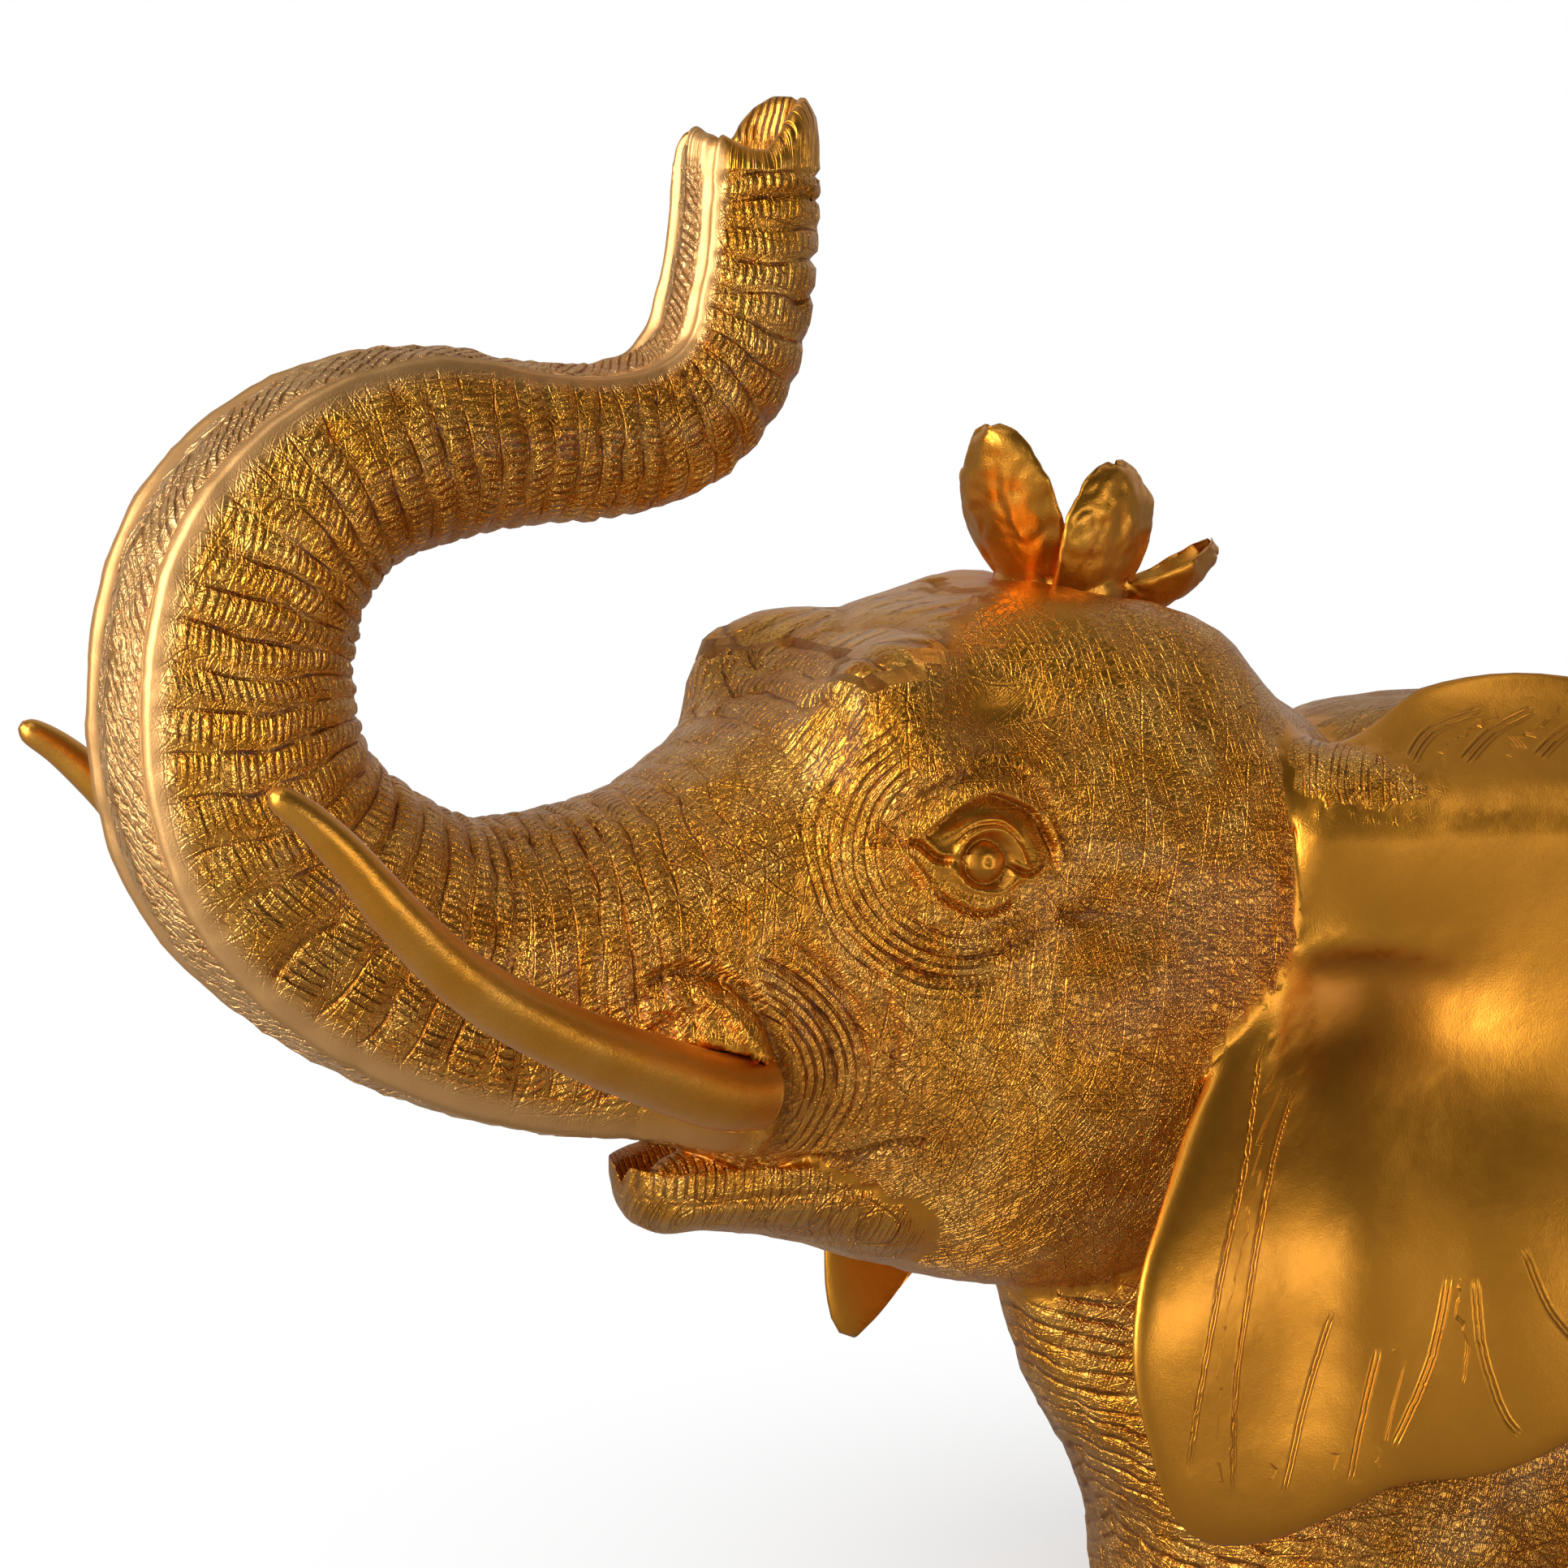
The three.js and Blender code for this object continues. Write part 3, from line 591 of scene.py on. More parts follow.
def head_and_trunk():
    """Head and trunk as one skin, with the open end of the trunk hollowed into a nostril."""
    place, _, run = spine_run()

    def ring(at, inset=0, height=0, share=0):
        centre, ahead, dorsal = (row[0] for row in spine_at(np.array([at])))
        _, _, up, down, half, square, face = along(HEAD_AND_TRUNK, at)[0]
        outline = section(up - inset, down - inset, half - inset, square, face)
        rise = height + share * tip_rise(outline[:, 0], up, down)
        flat = centre + outline[:, :1] * dorsal + rise[:, None] * ahead
        return np.stack([flat[:, 0], outline[:, 1], flat[:, 1]], 1)

    stops = np.arange(0, run[-1], RING_SPACING)
    rings = [ring(at) for at in np.interp(stops, run, place)]
    mouth = along(TIP_MOUTH, np.linspace(0, len(TIP_MOUTH) - 1, TIP_MOUTH_RINGS))
    rings += [ring(place[-1], *row) for row in mouth]
    return sculpted(shell(rings), SKIN_FORMS)


def neck_and_chest():
    """Level rings from the flat underside to the withers."""
    angle = np.linspace(0, 2 * math.pi, CHEST_COLUMNS, endpoint=False)
    rings = []
    for z, front, back, half, square, narrowing in along(CHEST, np.linspace(0, len(CHEST) - 1, CHEST_RINGS)):
        x = np.sign(np.cos(angle)) * np.abs(np.cos(angle)) ** (2 / square)
        y = np.sign(np.sin(angle)) * np.abs(np.sin(angle)) ** (2 / square)
        middle, reach = (front + back) / 2, (back - front) / 2
        width = half * y * (1 - narrowing * (1 - x))
        rings.append(np.stack([middle + reach * x, width, np.full_like(x, z)], 1))
    points, triangles = sculpted(shell(rings), BODY_FORMS)
    points[:CHEST_COLUMNS, 2] = 0
    points[-2, 2] = 0
    return points, triangles


def lower_jaw():
    """A scoop whose lip rims stand above the hollow between them."""
    under = np.linspace(0, math.pi, 45)
    share = 1 - 2 * np.linspace(0, 1, 26)[1:-1]
    rings = []
    for x, rim, depth, half in along(JAW, np.linspace(0, len(JAW) - 1, 44)):
        y = np.concatenate([half * np.cos(under), -half * 0.86 * share])
        hull = rim - depth * np.sin(under) ** 0.8
        scoop = rim - depth * JAW_SCOOP_SHARE * (1 - share**2)
        z = np.concatenate([hull, scoop])
        rings.append(np.stack([np.full_like(y, x), y, z], 1))
    return shell(rings)


def ear_distance(x, z):
    """How far out from the plane of symmetry the middle of the ear sheet lies."""
    low = 1 / (1 + np.exp((z - 122) / 12))
    base = 51 + 22 * low
    run = x + 72
    flare = EAR_FLARE * 0.5 * (run + np.hypot(run, 14))
    bowl = 7 * soft_spot(x, z, EAR_BOWL_SPOT)
    angle = np.arctan2(x + 62, 190 - z)
    away = np.clip((np.hypot(x + 62, z - 190) - 30) / 90, 0, 1)
    folds = EAR_FOLD_HEIGHT * away * np.sin(EAR_FOLDS * angle)
    top_roll = EAR_TOP_ROLL * smooth_step((z - 188) / 34)
    return base + flare * (1 - 0.35 * low) - bowl + folds - top_roll


def ear(outline):
    """An ear on the +Y side: a sheet of even thickness inside its outline, with a rounded rim."""
    count = len(outline)
    closed = along(outline * 3, np.linspace(count, 2 * count, 40 * count + 1))
    edge = evenly(closed, EAR_SECTORS)
    half = 0.6 * EAR_THICKNESS

    def ring(share, side):
        flat = np.array(EAR_CENTRE) + share * (edge - EAR_CENTRE)
        thick = side * half * math.sqrt(max(0, 1 - share**14))
        return np.stack([flat[:, 0], ear_distance(flat[:, 0], flat[:, 1]) + thick, flat[:, 1]], 1)

    shares = [*np.linspace(1 / EAR_RINGS, 0.94, EAR_RINGS), 0.965, 0.982, 0.994]
    rings = [ring(share, -1) for share in shares]
    rings.append(ring(1, 0))
    rings += [ring(share, 1) for share in reversed(shares)]
    return shell(rings)


def bar(stations, around, rings):
    """A round bar along a line of x, y, z and radius, ended by blunt caps."""
    last = len(stations) - 1
    place = np.linspace(0, last, rings)
    line = along(stations, place)
    step = along(stations, np.minimum(last, place + 0.05)) - along(stations, np.maximum(0, place - 0.05))
    ahead = step[:, :3] / np.linalg.norm(step[:, :3], axis=1, keepdims=True)
    sideways = np.cross([0, 0, 1], ahead)
    sideways /= np.linalg.norm(sideways, axis=1, keepdims=True)
    upward = np.cross(ahead, sideways)
    angle = np.linspace(0, 2 * math.pi, around, endpoint=False)[None, :, None]
    spread = np.cos(angle) * sideways[:, None] + np.sin(angle) * upward[:, None]
    return shell(line[:, None, :3] + line[:, None, 3:] * spread)


def tusk_stations(offset, gap):
    """Stations of the tusk on the +Y side with its plug; a gap makes the socket that takes it."""
    root, tip = TUSK_DIAMETER / 2, TUSK_TIP_DIAMETER / 2
    share = np.linspace(0, 1, len(TUSK_LINE))[:, None]
    centre = np.array(TUSK_LINE, float) + np.array(offset) * share**2
    radius = root - (root - tip) * share**TUSK_TAPER + gap
    line = np.hstack([centre, radius])
    inward = line[0, :3] - line[1, :3]
    line[0, :3] = line[1, :3] + inward / np.linalg.norm(inward) * (TUSK_PLUG_DEPTH + gap)
    ahead = line[-1, :3] - line[-2, :3]
    nose = line[-1, :3] + ahead / np.linalg.norm(ahead) * tip * 0.9
    return np.vstack([line, [*nose, tip * 0.4]])


def carved(place, lines, beads=0, middle=None):
    """Height of carved lines at places in a plane: ridges, grooves with low lips, and folds.

    A fold, whose line has a fourth value, overhangs a hollow of that width on the side of the middle.
    """
    total = np.zeros(len(place))
    for points, width, height, *hollow in lines.values():
        line = along(points, np.linspace(0, len(points) - 1, 12 * len(points)))
        reach = 4 * width + 2.5 * sum(hollow)
        low, high = line.min(axis=0) - reach, line.max(axis=0) + reach
        near = np.flatnonzero(((place > low) & (place < high)).all(axis=1))
        if not len(near):
            continue
        gaps = np.linalg.norm(place[near, None] - line[None], axis=2)
        nearest = gaps.argmin(axis=1)
        gap = gaps.min(axis=1)
        share = nearest / (len(line) - 1)
        fade = np.minimum(1, 5 * np.minimum(share, 1 - share) + 0.15)
        body = np.exp(-((gap / width) ** 2))
        if hollow:
            inward = np.linalg.norm(line[nearest] - middle, axis=1)
            inside = smooth_step((inward - np.linalg.norm(place[near] - middle, axis=1)) / 0.7 + 0.5)
            sunk = inside * np.exp(-((gap / hollow[0]) ** 1.5))
            body = (1 - inside) * 0.45 * np.exp(-((gap / (2.2 * width)) ** 2)) - sunk
        elif height < 0:
            body -= 0.35 * np.exp(-(((gap - 2.0 * width) / width) ** 2))
        elif beads:
            body *= 1 + 0.35 * np.sin(share * len(line) * beads)
        total[near] += height * body * fade
    return total


def object_of(name, body):
    """A Blender object holding a body drawn in millimetres."""
    points, triangles = body
    mesh = bpy.data.meshes.new(name)
    mesh.from_pydata((points * MM).tolist(), [], triangles.tolist())
    made = bpy.data.objects.new(name, mesh)
    bpy.context.scene.collection.objects.link(made)
    return made


def joined(bodies, cuts=()):
    """The bodies joined into one closed skin and cut by the others."""
    base = object_of("join_base", bodies[0])
    tools = []
    for number, (body, kind) in enumerate(
        [*((b, "UNION") for b in bodies[1:]), *((c, "DIFFERENCE") for c in cuts)]
    ):
        tool = object_of(f"join_tool_{number}", body)
        step = base.modifiers.new(f"step_{number}", "BOOLEAN")
        step.operation, step.solver, step.object = kind, "MANIFOLD", tool
        tools.append(tool)
    shown = bpy.context.evaluated_depsgraph_get()
    mesh = bpy.data.meshes.new_from_object(base.evaluated_get(shown))
    for old in [base, *tools]:
        bpy.data.objects.remove(old)
    work = bmesh.new()
    work.from_mesh(mesh)
    bmesh.ops.remove_doubles(work, verts=work.verts, dist=0.12 * MM)
    bmesh.ops.dissolve_degenerate(work, edges=work.edges, dist=0.05 * MM)
    bmesh.ops.triangulate(work, faces=work.faces)
    work.to_mesh(mesh)
    work.free()
    points = np.zeros(len(mesh.vertices) * 3)
    mesh.vertices.foreach_get("co", points)
    triangles = np.zeros(len(mesh.polygons) * 3, np.int64)
    mesh.polygons.foreach_get("vertices", triangles)
    bpy.data.meshes.remove(mesh)
    return points.reshape(-1, 3) / MM, triangles.reshape(-1, 3)


def nearest_source(points, bodies):
    """For each point the number of the body whose skin it lies on."""
    places = [Vector(point) for point in points]
    gaps = []
    for skin, triangles in bodies:
        tree = BVHTree.FromPolygons(skin.tolist(), triangles.tolist())
        gaps.append([tree.find_nearest(place)[3] for place in places])
    return np.argmin(gaps, axis=0)


def line_gap(points, line):
    """Distance of points from a line of points, and how far along it the nearest one lies."""
    dense = along(line, np.linspace(0, len(line) - 1, 40))
    run = np.concatenate([[0], np.cumsum(np.linalg.norm(np.diff(dense, axis=0), axis=1))])
    gaps = np.linalg.norm(points[:, None] - dense[None], axis=2)
    return gaps.min(axis=1), run[gaps.argmin(axis=1)]


def vein_gaps(flat, wanted):
    """Distance from the nearest vein, signed by side, and its strength; far from them they are 9 and 0."""
    nearest = np.full(len(flat), 9.0)
    share = np.zeros(len(flat))
    for line in EAR_VEINS:
        low, high = np.min(line, axis=0) - VEIN_REACH - 2, np.max(line, axis=0) + VEIN_REACH + 2
        near = np.flatnonzero(wanted & ((flat > low) & (flat < high)).all(axis=1))
        if not len(near):
            continue
        dense = along(line, np.linspace(0, len(line) - 1, 80))
        offsets = flat[near, None] - dense[None]
        lengths = np.linalg.norm(offsets, axis=2)
        closest = lengths.argmin(axis=1)
        step = np.gradient(dense, axis=0)[closest]
        offset = offsets[np.arange(len(near)), closest]
        turn = step[:, 0] * offset[:, 1] - step[:, 1] * offset[:, 0]
        signed = np.where(turn < 0, -1, 1) * lengths.min(axis=1)
        better = np.abs(signed) < np.abs(nearest[near])
        nearest[near[better]] = signed[better]
        along_line = closest / (len(dense) - 1)
        ends = smooth_step(6 * np.minimum(along_line, 1 - along_line))
        strength = ends * smooth_step((VEIN_REACH + 1.5 - np.abs(signed)) / 2)
        share[near[better]] = strength[better]
    return nearest, share


def edge_length(points):
    """The edge length that the carving needs at each point."""
    x, y, z = points.T
    flat = points[:, [0, 2]]
    side = np.abs(y) > 25
    size = np.full(len(points), PLAIN_EDGE)
    neck = (x < -60) & (z < 112)
    size[neck] = NECK_EDGE
    root = np.array(EAR_ROOT)[:, :3]
    folded = np.stack([x, np.abs(y), z], 1)
    near_root = np.flatnonzero((x > -90) & (z > 165))
    size[near_root[line_gap(folded[near_root], root)[0] < 18]] = ROOT_EDGE
    size[side & (x > -232) & (x < -166) & (z > 104) & (z < 172)] = MUZZLE_EDGE
    size[(x < -164) & (z > 96) & (z < 126)] = MUZZLE_EDGE
    size[(z > 326) & (x > -215)] = TIP_EDGE
    outer = (np.abs(y) > ear_distance(x, z)) & (x > -122)
    gap, _ = vein_gaps(flat, outer)
    size[np.abs(gap) < VEIN_REACH] = VEIN_EDGE
    back, up = (flat - EYE).T
    size[side & ((back + 4) ** 2 / 30**2 + (up + 1) ** 2 / 28**2 < 1)] = EYE_EDGE
    size[side & ((back - 0.5) ** 2 / 17.5**2 + (up - 1.5) ** 2 / 14**2 < 1)] = LID_EDGE
    return size


class Skin:
    """The joined skin with what the carving reads: where each point lies on head and trunk."""

    def __init__(self, bodies, cuts):
        points, triangles = joined(bodies, cuts)
        points, triangles = refined(points, triangles, edge_length)
        self.source = nearest_source(points, [*bodies, *cuts])
        self.triangles = triangles
        edges, _ = edges_of(triangles)
        mixed = np.zeros(len(points))
        mixed[edges[self.source[edges[:, 0]] != self.source[edges[:, 1]]].ravel()] = 1
        seam = smoothed(mixed, triangles, 4)
        self.seam = mixed
        loose = np.clip(seam * 6, 0, 1)
        loose[points[:, 2] < 1] = 0
        points = smoothed(points, triangles, 5, keep=1 - loose)
        low, high = np.maximum(LEFT_ROOT, self.source), np.minimum(RIGHT_ROOT, self.source)
        at_root = smoothed((low == high).astype(float), triangles, 14)
        keep_root = 1 - np.clip(8 * at_root * (1 - at_root), 0, 1) * (at_root > 0.02)
        self.points = smoothed(points, triangles, 16, keep=keep_root)
        self.measure()

    def measure(self):
        """How far along the spine, how far round the section, and how dorsal each point is."""
        _, centre, run = spine_run()
        place = np.linspace(0, len(HEAD_AND_TRUNK) - 1, len(centre))
        _, _, dorsal = spine_at(place)
        flat = self.points[:, [0, 2]]
        nearest = np.concatenate([
            ((part[:, None] - centre[None]) ** 2).sum(axis=2).argmin(axis=1)
            for part in np.array_split(flat, 60)
        ])
        offset = flat - centre[nearest]
        self.run = run[nearest]
        self.up = (offset * dorsal[nearest]).sum(axis=1)
        shape = along(HEAD_AND_TRUNK, place[nearest])
        y = np.abs(self.points[:, 1])
        angle = np.arctan2(y, self.up)
        self.girth = np.where(self.points[:, 1] < 0, -1, 1) * angle * (shape[:, 2] + shape[:, 4]) / 2
        self.under = smooth_step((angle - 2.9) / 0.1)
        self.ventral = smooth_step((-self.up - 0.72 * shape[:, 3]) / (0.2 * shape[:, 3])) * shape[:, 6]
        self.ridge_gap = shape[:, 4] * FACE_SHARE - y


# Numbers of the joined bodies, in the order in which the bust joins them; the sockets come last.
HEAD, CHEST_BODY, JAW_BODY, NEAR_EAR, FAR_EAR, LEFT_ROOT, RIGHT_ROOT, TONGUE_BODY, FIRST_SOCKET = range(9)

# Rings of the trunk: their pitch, the wider pitch in the bend and where that is, and the ledge's share.
RING_PITCH = 5.9
BEND_RING_PITCH = 8.8
BEND_RUN = [232, 330]
RING_LEDGE = 0.3


def furrow(place, sharpness):
    """A row of furrows one unit apart: 1 in the middle of a furrow and 0 between."""
    return (np.abs(2 * (place % 1) - 1)) ** sharpness


def ring_places(skin):
    """Where each point lies between the rings of the trunk: whole numbers are the grooves."""
    where = np.stack([skin.run, skin.girth, skin.points[:, 1] * 0.6], 1)
    wander = 2.6 * noise(where, 21, 1) + 1.1 * noise(where, 8, 2)
    stops = np.arange(0, skin.run.max() + 2)
    bend = smooth_step((stops - BEND_RUN[0] + 25) / 50) * smooth_step((BEND_RUN[1] + 25 - stops) / 50)
    count = np.cumsum(1 / (RING_PITCH + (BEND_RING_PITCH - RING_PITCH) * bend))
    return np.interp(skin.run + wander, stops, count) + 0.3 * np.sin(skin.run / 17)


def trunk_rings(skin, place):
    """Rings round the trunk: each drops sharply into a groove and climbs out of it over a ledge."""
    where = np.stack([skin.run, skin.girth, skin.points[:, 1] * 0.6], 1)
    ring, part = np.floor(place), place % 1
    strength = 0.85 + 0.5 * noise(np.stack([ring * 9.7, skin.girth * 0.5, where[:, 2]], 1), 12, 3)
    ledge = np.maximum(0, 1 - part / RING_LEDGE) ** 1.2 + np.maximum(0, (part - 0.9) / 0.1)
    swell = np.sin(math.pi * part) * (0.5 + 0.5 * noise(np.stack([ring * 7.3, skin.girth, ring], 1), 7, 4))
    creases = furrow(place * 2 + 0.5, 8) * np.clip(noise(where, 10, 5) + 0.2, 0, 1)
    return 0.55 * swell - 1.45 * ledge * strength - 0.4 * creases + 0.3 * noise(where, 4.2, 6)


def carve(skin):
    """How far out each point of the skin is moved, and what its finish reads: places and shares."""
    points = skin.points
    x, y, z = points.T
    flat = points[:, [0, 2]]
    folded = np.stack([x, np.abs(y), z], 1)
    source = skin.source
    head = smoothed(source == HEAD, skin.triangles, 3)
    ears = smoothed((source == NEAR_EAR) | (source == FAR_EAR), skin.triangles, 2)
    chest = smoothed(source == CHEST_BODY, skin.triangles, 3)
    jaw = smoothed((source == JAW_BODY) | (source == TONGUE_BODY), skin.triangles, 2)
    roots = smoothed((source == LEFT_ROOT) | (source == RIGHT_ROOT), skin.triangles, 4)
    side = (head > 0.5) & (np.abs(y) > 25)

    # Trunk: rings on back and flanks, a smooth band along each ridge, slanting wrinkles between.
    trunk = head * smooth_step((skin.run - 148) / 44)
    bridge = head * smooth_step((skin.run - 104) / 44) * smooth_step((skin.up - 30) / 24)
    tip = smooth_step((z - 333) / 5) * (x > -215)
    sheath = soft_spot(x, z, PLAIN_SHEATH_SPOT) * (np.abs(y) > 22)
    plain_sheath = head * np.clip(1.5 * sheath, 0, 1)
    ringed = np.maximum(trunk, bridge * smooth_step((z - 118) / 20))
    ringed *= (1 - tip) * (1 - plain_sheath) * (1 - skin.ventral)
    ring_place = ring_places(skin)
    lift = ringed * trunk_rings(skin, ring_place)
    where = np.stack([skin.run, skin.points[:, 1], skin.up], 1)
    slant = (skin.run + 0.9 * np.abs(y) + 1.6 * noise(where, 8, 7)) / 2.6
    inner = smooth_step((skin.ridge_gap - 4.6) / 2.2)
    slanted = head * (1 - tip) * skin.ventral * inner
    lift -= slanted * (0.5 * furrow(slant, 3) + 0.5 * furrow(slant / 2.3, 3))
    ridge = np.exp(-((skin.ridge_gap / 1.6) ** 2)) * skin.ventral * (1 - tip)
    lift += head * 0.25 * ridge

    # Eye: a ball in its socket, lids and folds, and fine arcs before and below it.
    eye_place = flat - EYE
    gap = np.hypot(*eye_place.T)
    eye = np.where(side, np.exp(-((gap / 30) ** 4)), 0)
    ball = EYEBALL_RISE * np.sqrt(np.clip(1 - (gap / EYEBALL_RADIUS) ** 2, 0, 1))
    ball -= SOCKET_DEPTH * np.exp(-((gap / SOCKET_RADIUS) ** 8))
    pupil = -PUPIL_DEPTH * np.exp(-((gap / PUPIL_RADIUS) ** 2))
    almond = np.exp(-((np.hypot(eye_place[:, 0] / 1.3, eye_place[:, 1]) / 9) ** 4))
    lift += np.where(side, ball + pupil - 0.9 * almond, 0)
    lift += np.where(side, carved(eye_place, EYE_LINES, middle=np.zeros(2)), 0)
    from_middle = eye_place - EYE_ARC_MIDDLE
    arc_gap = np.hypot(*from_middle.T)
    turn = np.degrees(np.arctan2(from_middle[:, 1], -from_middle[:, 0]))
    eye_arcs = smooth_step((arc_gap - 16.5) / 3) * smooth_step((36 - arc_gap) / 5)
    eye_arcs *= smooth_step((turn + 112) / 18) * smooth_step((62 - turn) / 16) * side
    arc_place = (arc_gap + 1.0 * noise(points, 13, 8)) / EYE_ARC_PITCH
    lift -= eye_arcs * 0.35 * furrow(arc_place, 3)

    # Muzzle: beaded rim and creases round the sheath, fine arcs behind it, the line of the mouth.
    lift += np.where(side | (jaw > 0.3), carved(flat, MUZZLE_LINES, MUZZLE_BEADS), 0) * (np.abs(y) > 14)
    from_sheath = flat - SHEATH_MIDDLE
    sheath_gap = np.hypot(*from_sheath.T)
    sheath_turn = np.degrees(np.arctan2(from_sheath[:, 1], from_sheath[:, 0]))
    sheath_arcs = smooth_step((sheath_gap - 16) / 3) * smooth_step((38 - sheath_gap) / 8) * side
    sheath_arcs *= smooth_step((sheath_turn + 50) / 15) * smooth_step((80 - sheath_turn) / 20)
    sheath_place = (sheath_gap + 1.2 * noise(points, 12, 9)) / SHEATH_ARC_PITCH
    lift -= sheath_arcs * 0.3 * furrow(sheath_place, 3)

    rough = head * (1 - ringed) * (1 - eye) * (1 - plain_sheath) * (1 - tip)
    lift += rough * (0.45 * noise(points, 7, 11) + 0.25 * noise(points, 3.2, 12))
    lift += jaw * 0.3 * noise(points, 3.4, 13)
    crumple = 0.45 * noise(points * [1, 1, 0.5], 4, 14) + 0.3 * noise(points, 2.4, 15)
    lift += head * tip * crumple

    # Ears: soft folds, a hollow bowl, fine veins; hatched wrinkles where the ear leaves the neck.
    outer = (np.abs(y) > ear_distance(x, z)) & (ears > 0.5)
    lift += np.where(outer, carved(flat, EAR_LINES), 0)
    lift += ears * (0.5 * noise(points, 26, 16) + 0.1 * noise(points, 5, 17))
    bowl = smooth_step((x + 82) / 9) * smooth_step((-34 - x) / 30)
    bowl *= smooth_step((z - 126) / 18) * smooth_step((168 - z) / 14)
    lift -= np.where(outer, EAR_BOWL_DEPTH * bowl, 0)
    _, root_run = line_gap(folded, np.array(EAR_ROOT)[:, :3])
    root_place = (root_run + 2.2 * noise(points, 11, 18)) / 2.4
    roots = roots * smooth_step((root_run.max() - root_run) / 30)
    lift -= roots * (0.5 * furrow(root_place, 3) + 0.3 * noise(points, 3, 19))

    # Neck and chest: wavy level folds in front, a rough hide behind.
    front = chest * smooth_step((-40 - x) / 40) * smooth_step((118 - z) / 20)
    fold_place = (z + 0.25 * np.abs(y) + 1.8 * noise(points, 14, 20) + noise(points, 6, 21)) / 4.4
    lift -= front * 0.9 * furrow(fold_place, 3) * smooth_step(z / 6)
    lift += chest * (0.6 * noise(points, 12, 22) + 0.3 * noise(points, 5, 23)) * smooth_step(z / 4)

    lids = np.exp(-((np.hypot(eye_place[:, 0] / 1.3, eye_place[:, 1] - 3) / 13.5) ** 6)) * side
    smear = head * soft_spot(x, z, SMEAR_SPOT)
    dip = soft_spot(x, z, DIP_SPOT) * side
    band = head * skin.ventral * (1 - inner)
    plain = ears * (1 - roots) + lids + smear + dip + plain_sheath + band + tip * 0.7 + skin.seam
    plain = np.clip(plain + head * skin.under * (1 - skin.ventral), 0, 1)

    finger = head * tip * smooth_step((z - 339) / 3) * (skin.up > 0)
    finger_place = (skin.girth + 1.6 * noise(points, 6, 24)) / 2.7
    lip = jaw * smooth_step((z - 108.5) / 3)
    kinds = [
        (slanted, 0.2, slant),
        (eye_arcs, 0.05, arc_place),
        (sheath_arcs, 0.05, sheath_place),
        (roots, 0.3, root_place),
        (front, 0.05, fold_place),
        (finger, 0.05, finger_place),
        (lip, 0.05, x / 1.9),
    ]
    present = [share > least for share, least, _ in kinds]
    fine = np.select(present, [places for _, _, places in kinds], 0)
    fine_share = np.select(present, [share for share, _, _ in kinds], 0)
    angle = np.arctan2(y, -x)
    chart = np.select(
        [(source == HEAD)[:, None], (source == CHEST_BODY)[:, None], (ears > 0.5)[:, None]],
        [
            np.stack([skin.run, skin.girth], 1),
            np.stack([z + 500, angle * 80], 1),
            np.stack([x + 2000, z], 1),
        ],
        np.stack([x + 1000, z + y], 1),
    )
    lift[source >= FIRST_SOCKET] = 0
    vein_gap, vein_share = vein_gaps(flat, outer)
    return lift, {
        "vein_gap": vein_gap * MM,
        "veined": vein_share,
        "plain": plain,
        "ringed": ringed * (1 - plain),
        "ring_place": ring_place,
        "wrinkled": fine_share * np.maximum(1 - plain, finger),
        # The trunk's flat ventral face, which the finish pales as a painted reflection and makes rougher.
        "faced": head * skin.ventral,
        "wrinkle_place": fine,
        "skin_place": np.hstack([chart, skin.girth[:, None]]) * MM,
        # How deep each point is sunk; the finish darkens it towards brown as painted shade.
        "hollow": np.clip(-lift / 2.2, 0, 1),
    }


def kept_in_box(points):
    """Points held inside the solid's own box, which a crest of the skin may touch."""
    low, high = (np.array(corner) / MM for corner in cad_box)
    foot = points[:, 2] < FOOT_REACH
    held = np.clip(points, low + [BOX_MARGIN, BOX_MARGIN, 0], high - BOX_MARGIN)
    held[foot, 2] = np.where(points[foot, 2] < FOOT_TOUCH, 0, held[foot, 2])
    return held


def add_values(mesh, name, values):
    """Stores one number or one vector for each point of a mesh."""
    kind, field = ("FLOAT", "value") if values.ndim == 1 else ("FLOAT_VECTOR", "vector")
    attribute = mesh.attributes.new(name, kind, "POINT")
    attribute.data.foreach_set(field, values.astype(np.float32).ravel())


def finished(made, slot, *nodes):
    """Shades a piece smooth and ties it to the frame."""
    made.data.polygons.foreach_set("use_smooth", [True] * len(made.data.polygons))
    made.data.update()
    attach(made, "root")
    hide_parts(*nodes)
    return made


def make_bust(material):
    root = bar(EAR_ROOT, *ROOT_GRID)
    left_socket = mirrored(bar(tusk_stations([0, 0, 0], FIT_GAP), *SOCKET_GRID))
    right_socket = bar(tusk_stations(RIGHT_TUSK_OFFSET, FIT_GAP), *SOCKET_GRID)
    bodies = [
        head_and_trunk(),
        neck_and_chest(),
        lower_jaw(),
        mirrored(ear(EAR_OUTLINE)),
        ear(SMALL_EAR_OUTLINE),
        mirrored(root),
        root,
        bar(TONGUE, *TONGUE_GRID),
    ]
    skin = Skin(bodies, [left_socket, right_socket])
    lift, read_by_finish = carve(skin)
    points = skin.points + normals_of(skin.points, skin.triangles) * lift[:, None]
    flat_foot = skin.points[:, 2] < FOOT_TOUCH
    points[flat_foot, 2] = 0
    made = object_of("bust_skin", (kept_in_box(points), skin.triangles))
    mesh = made.data
    for name, values in read_by_finish.items():
        add_values(mesh, name, values)
    mesh.materials.append(material)
    return finished(made, "gilded_skin", "bust")


def make_tusk(name, node, side, offset, material):
    points, triangles = bar(tusk_stations(offset, 0), *TUSK_GRID)
    points = points + normals_of(points, triangles) * (0.12 * noise(points, 9, 31) - 0.1)[:, None]
    body = (points, triangles) if side > 0 else mirrored((points, triangles))
    made = object_of(name, body)
    made.data.materials.append(material)
    return finished(made, "satin_gold", node)


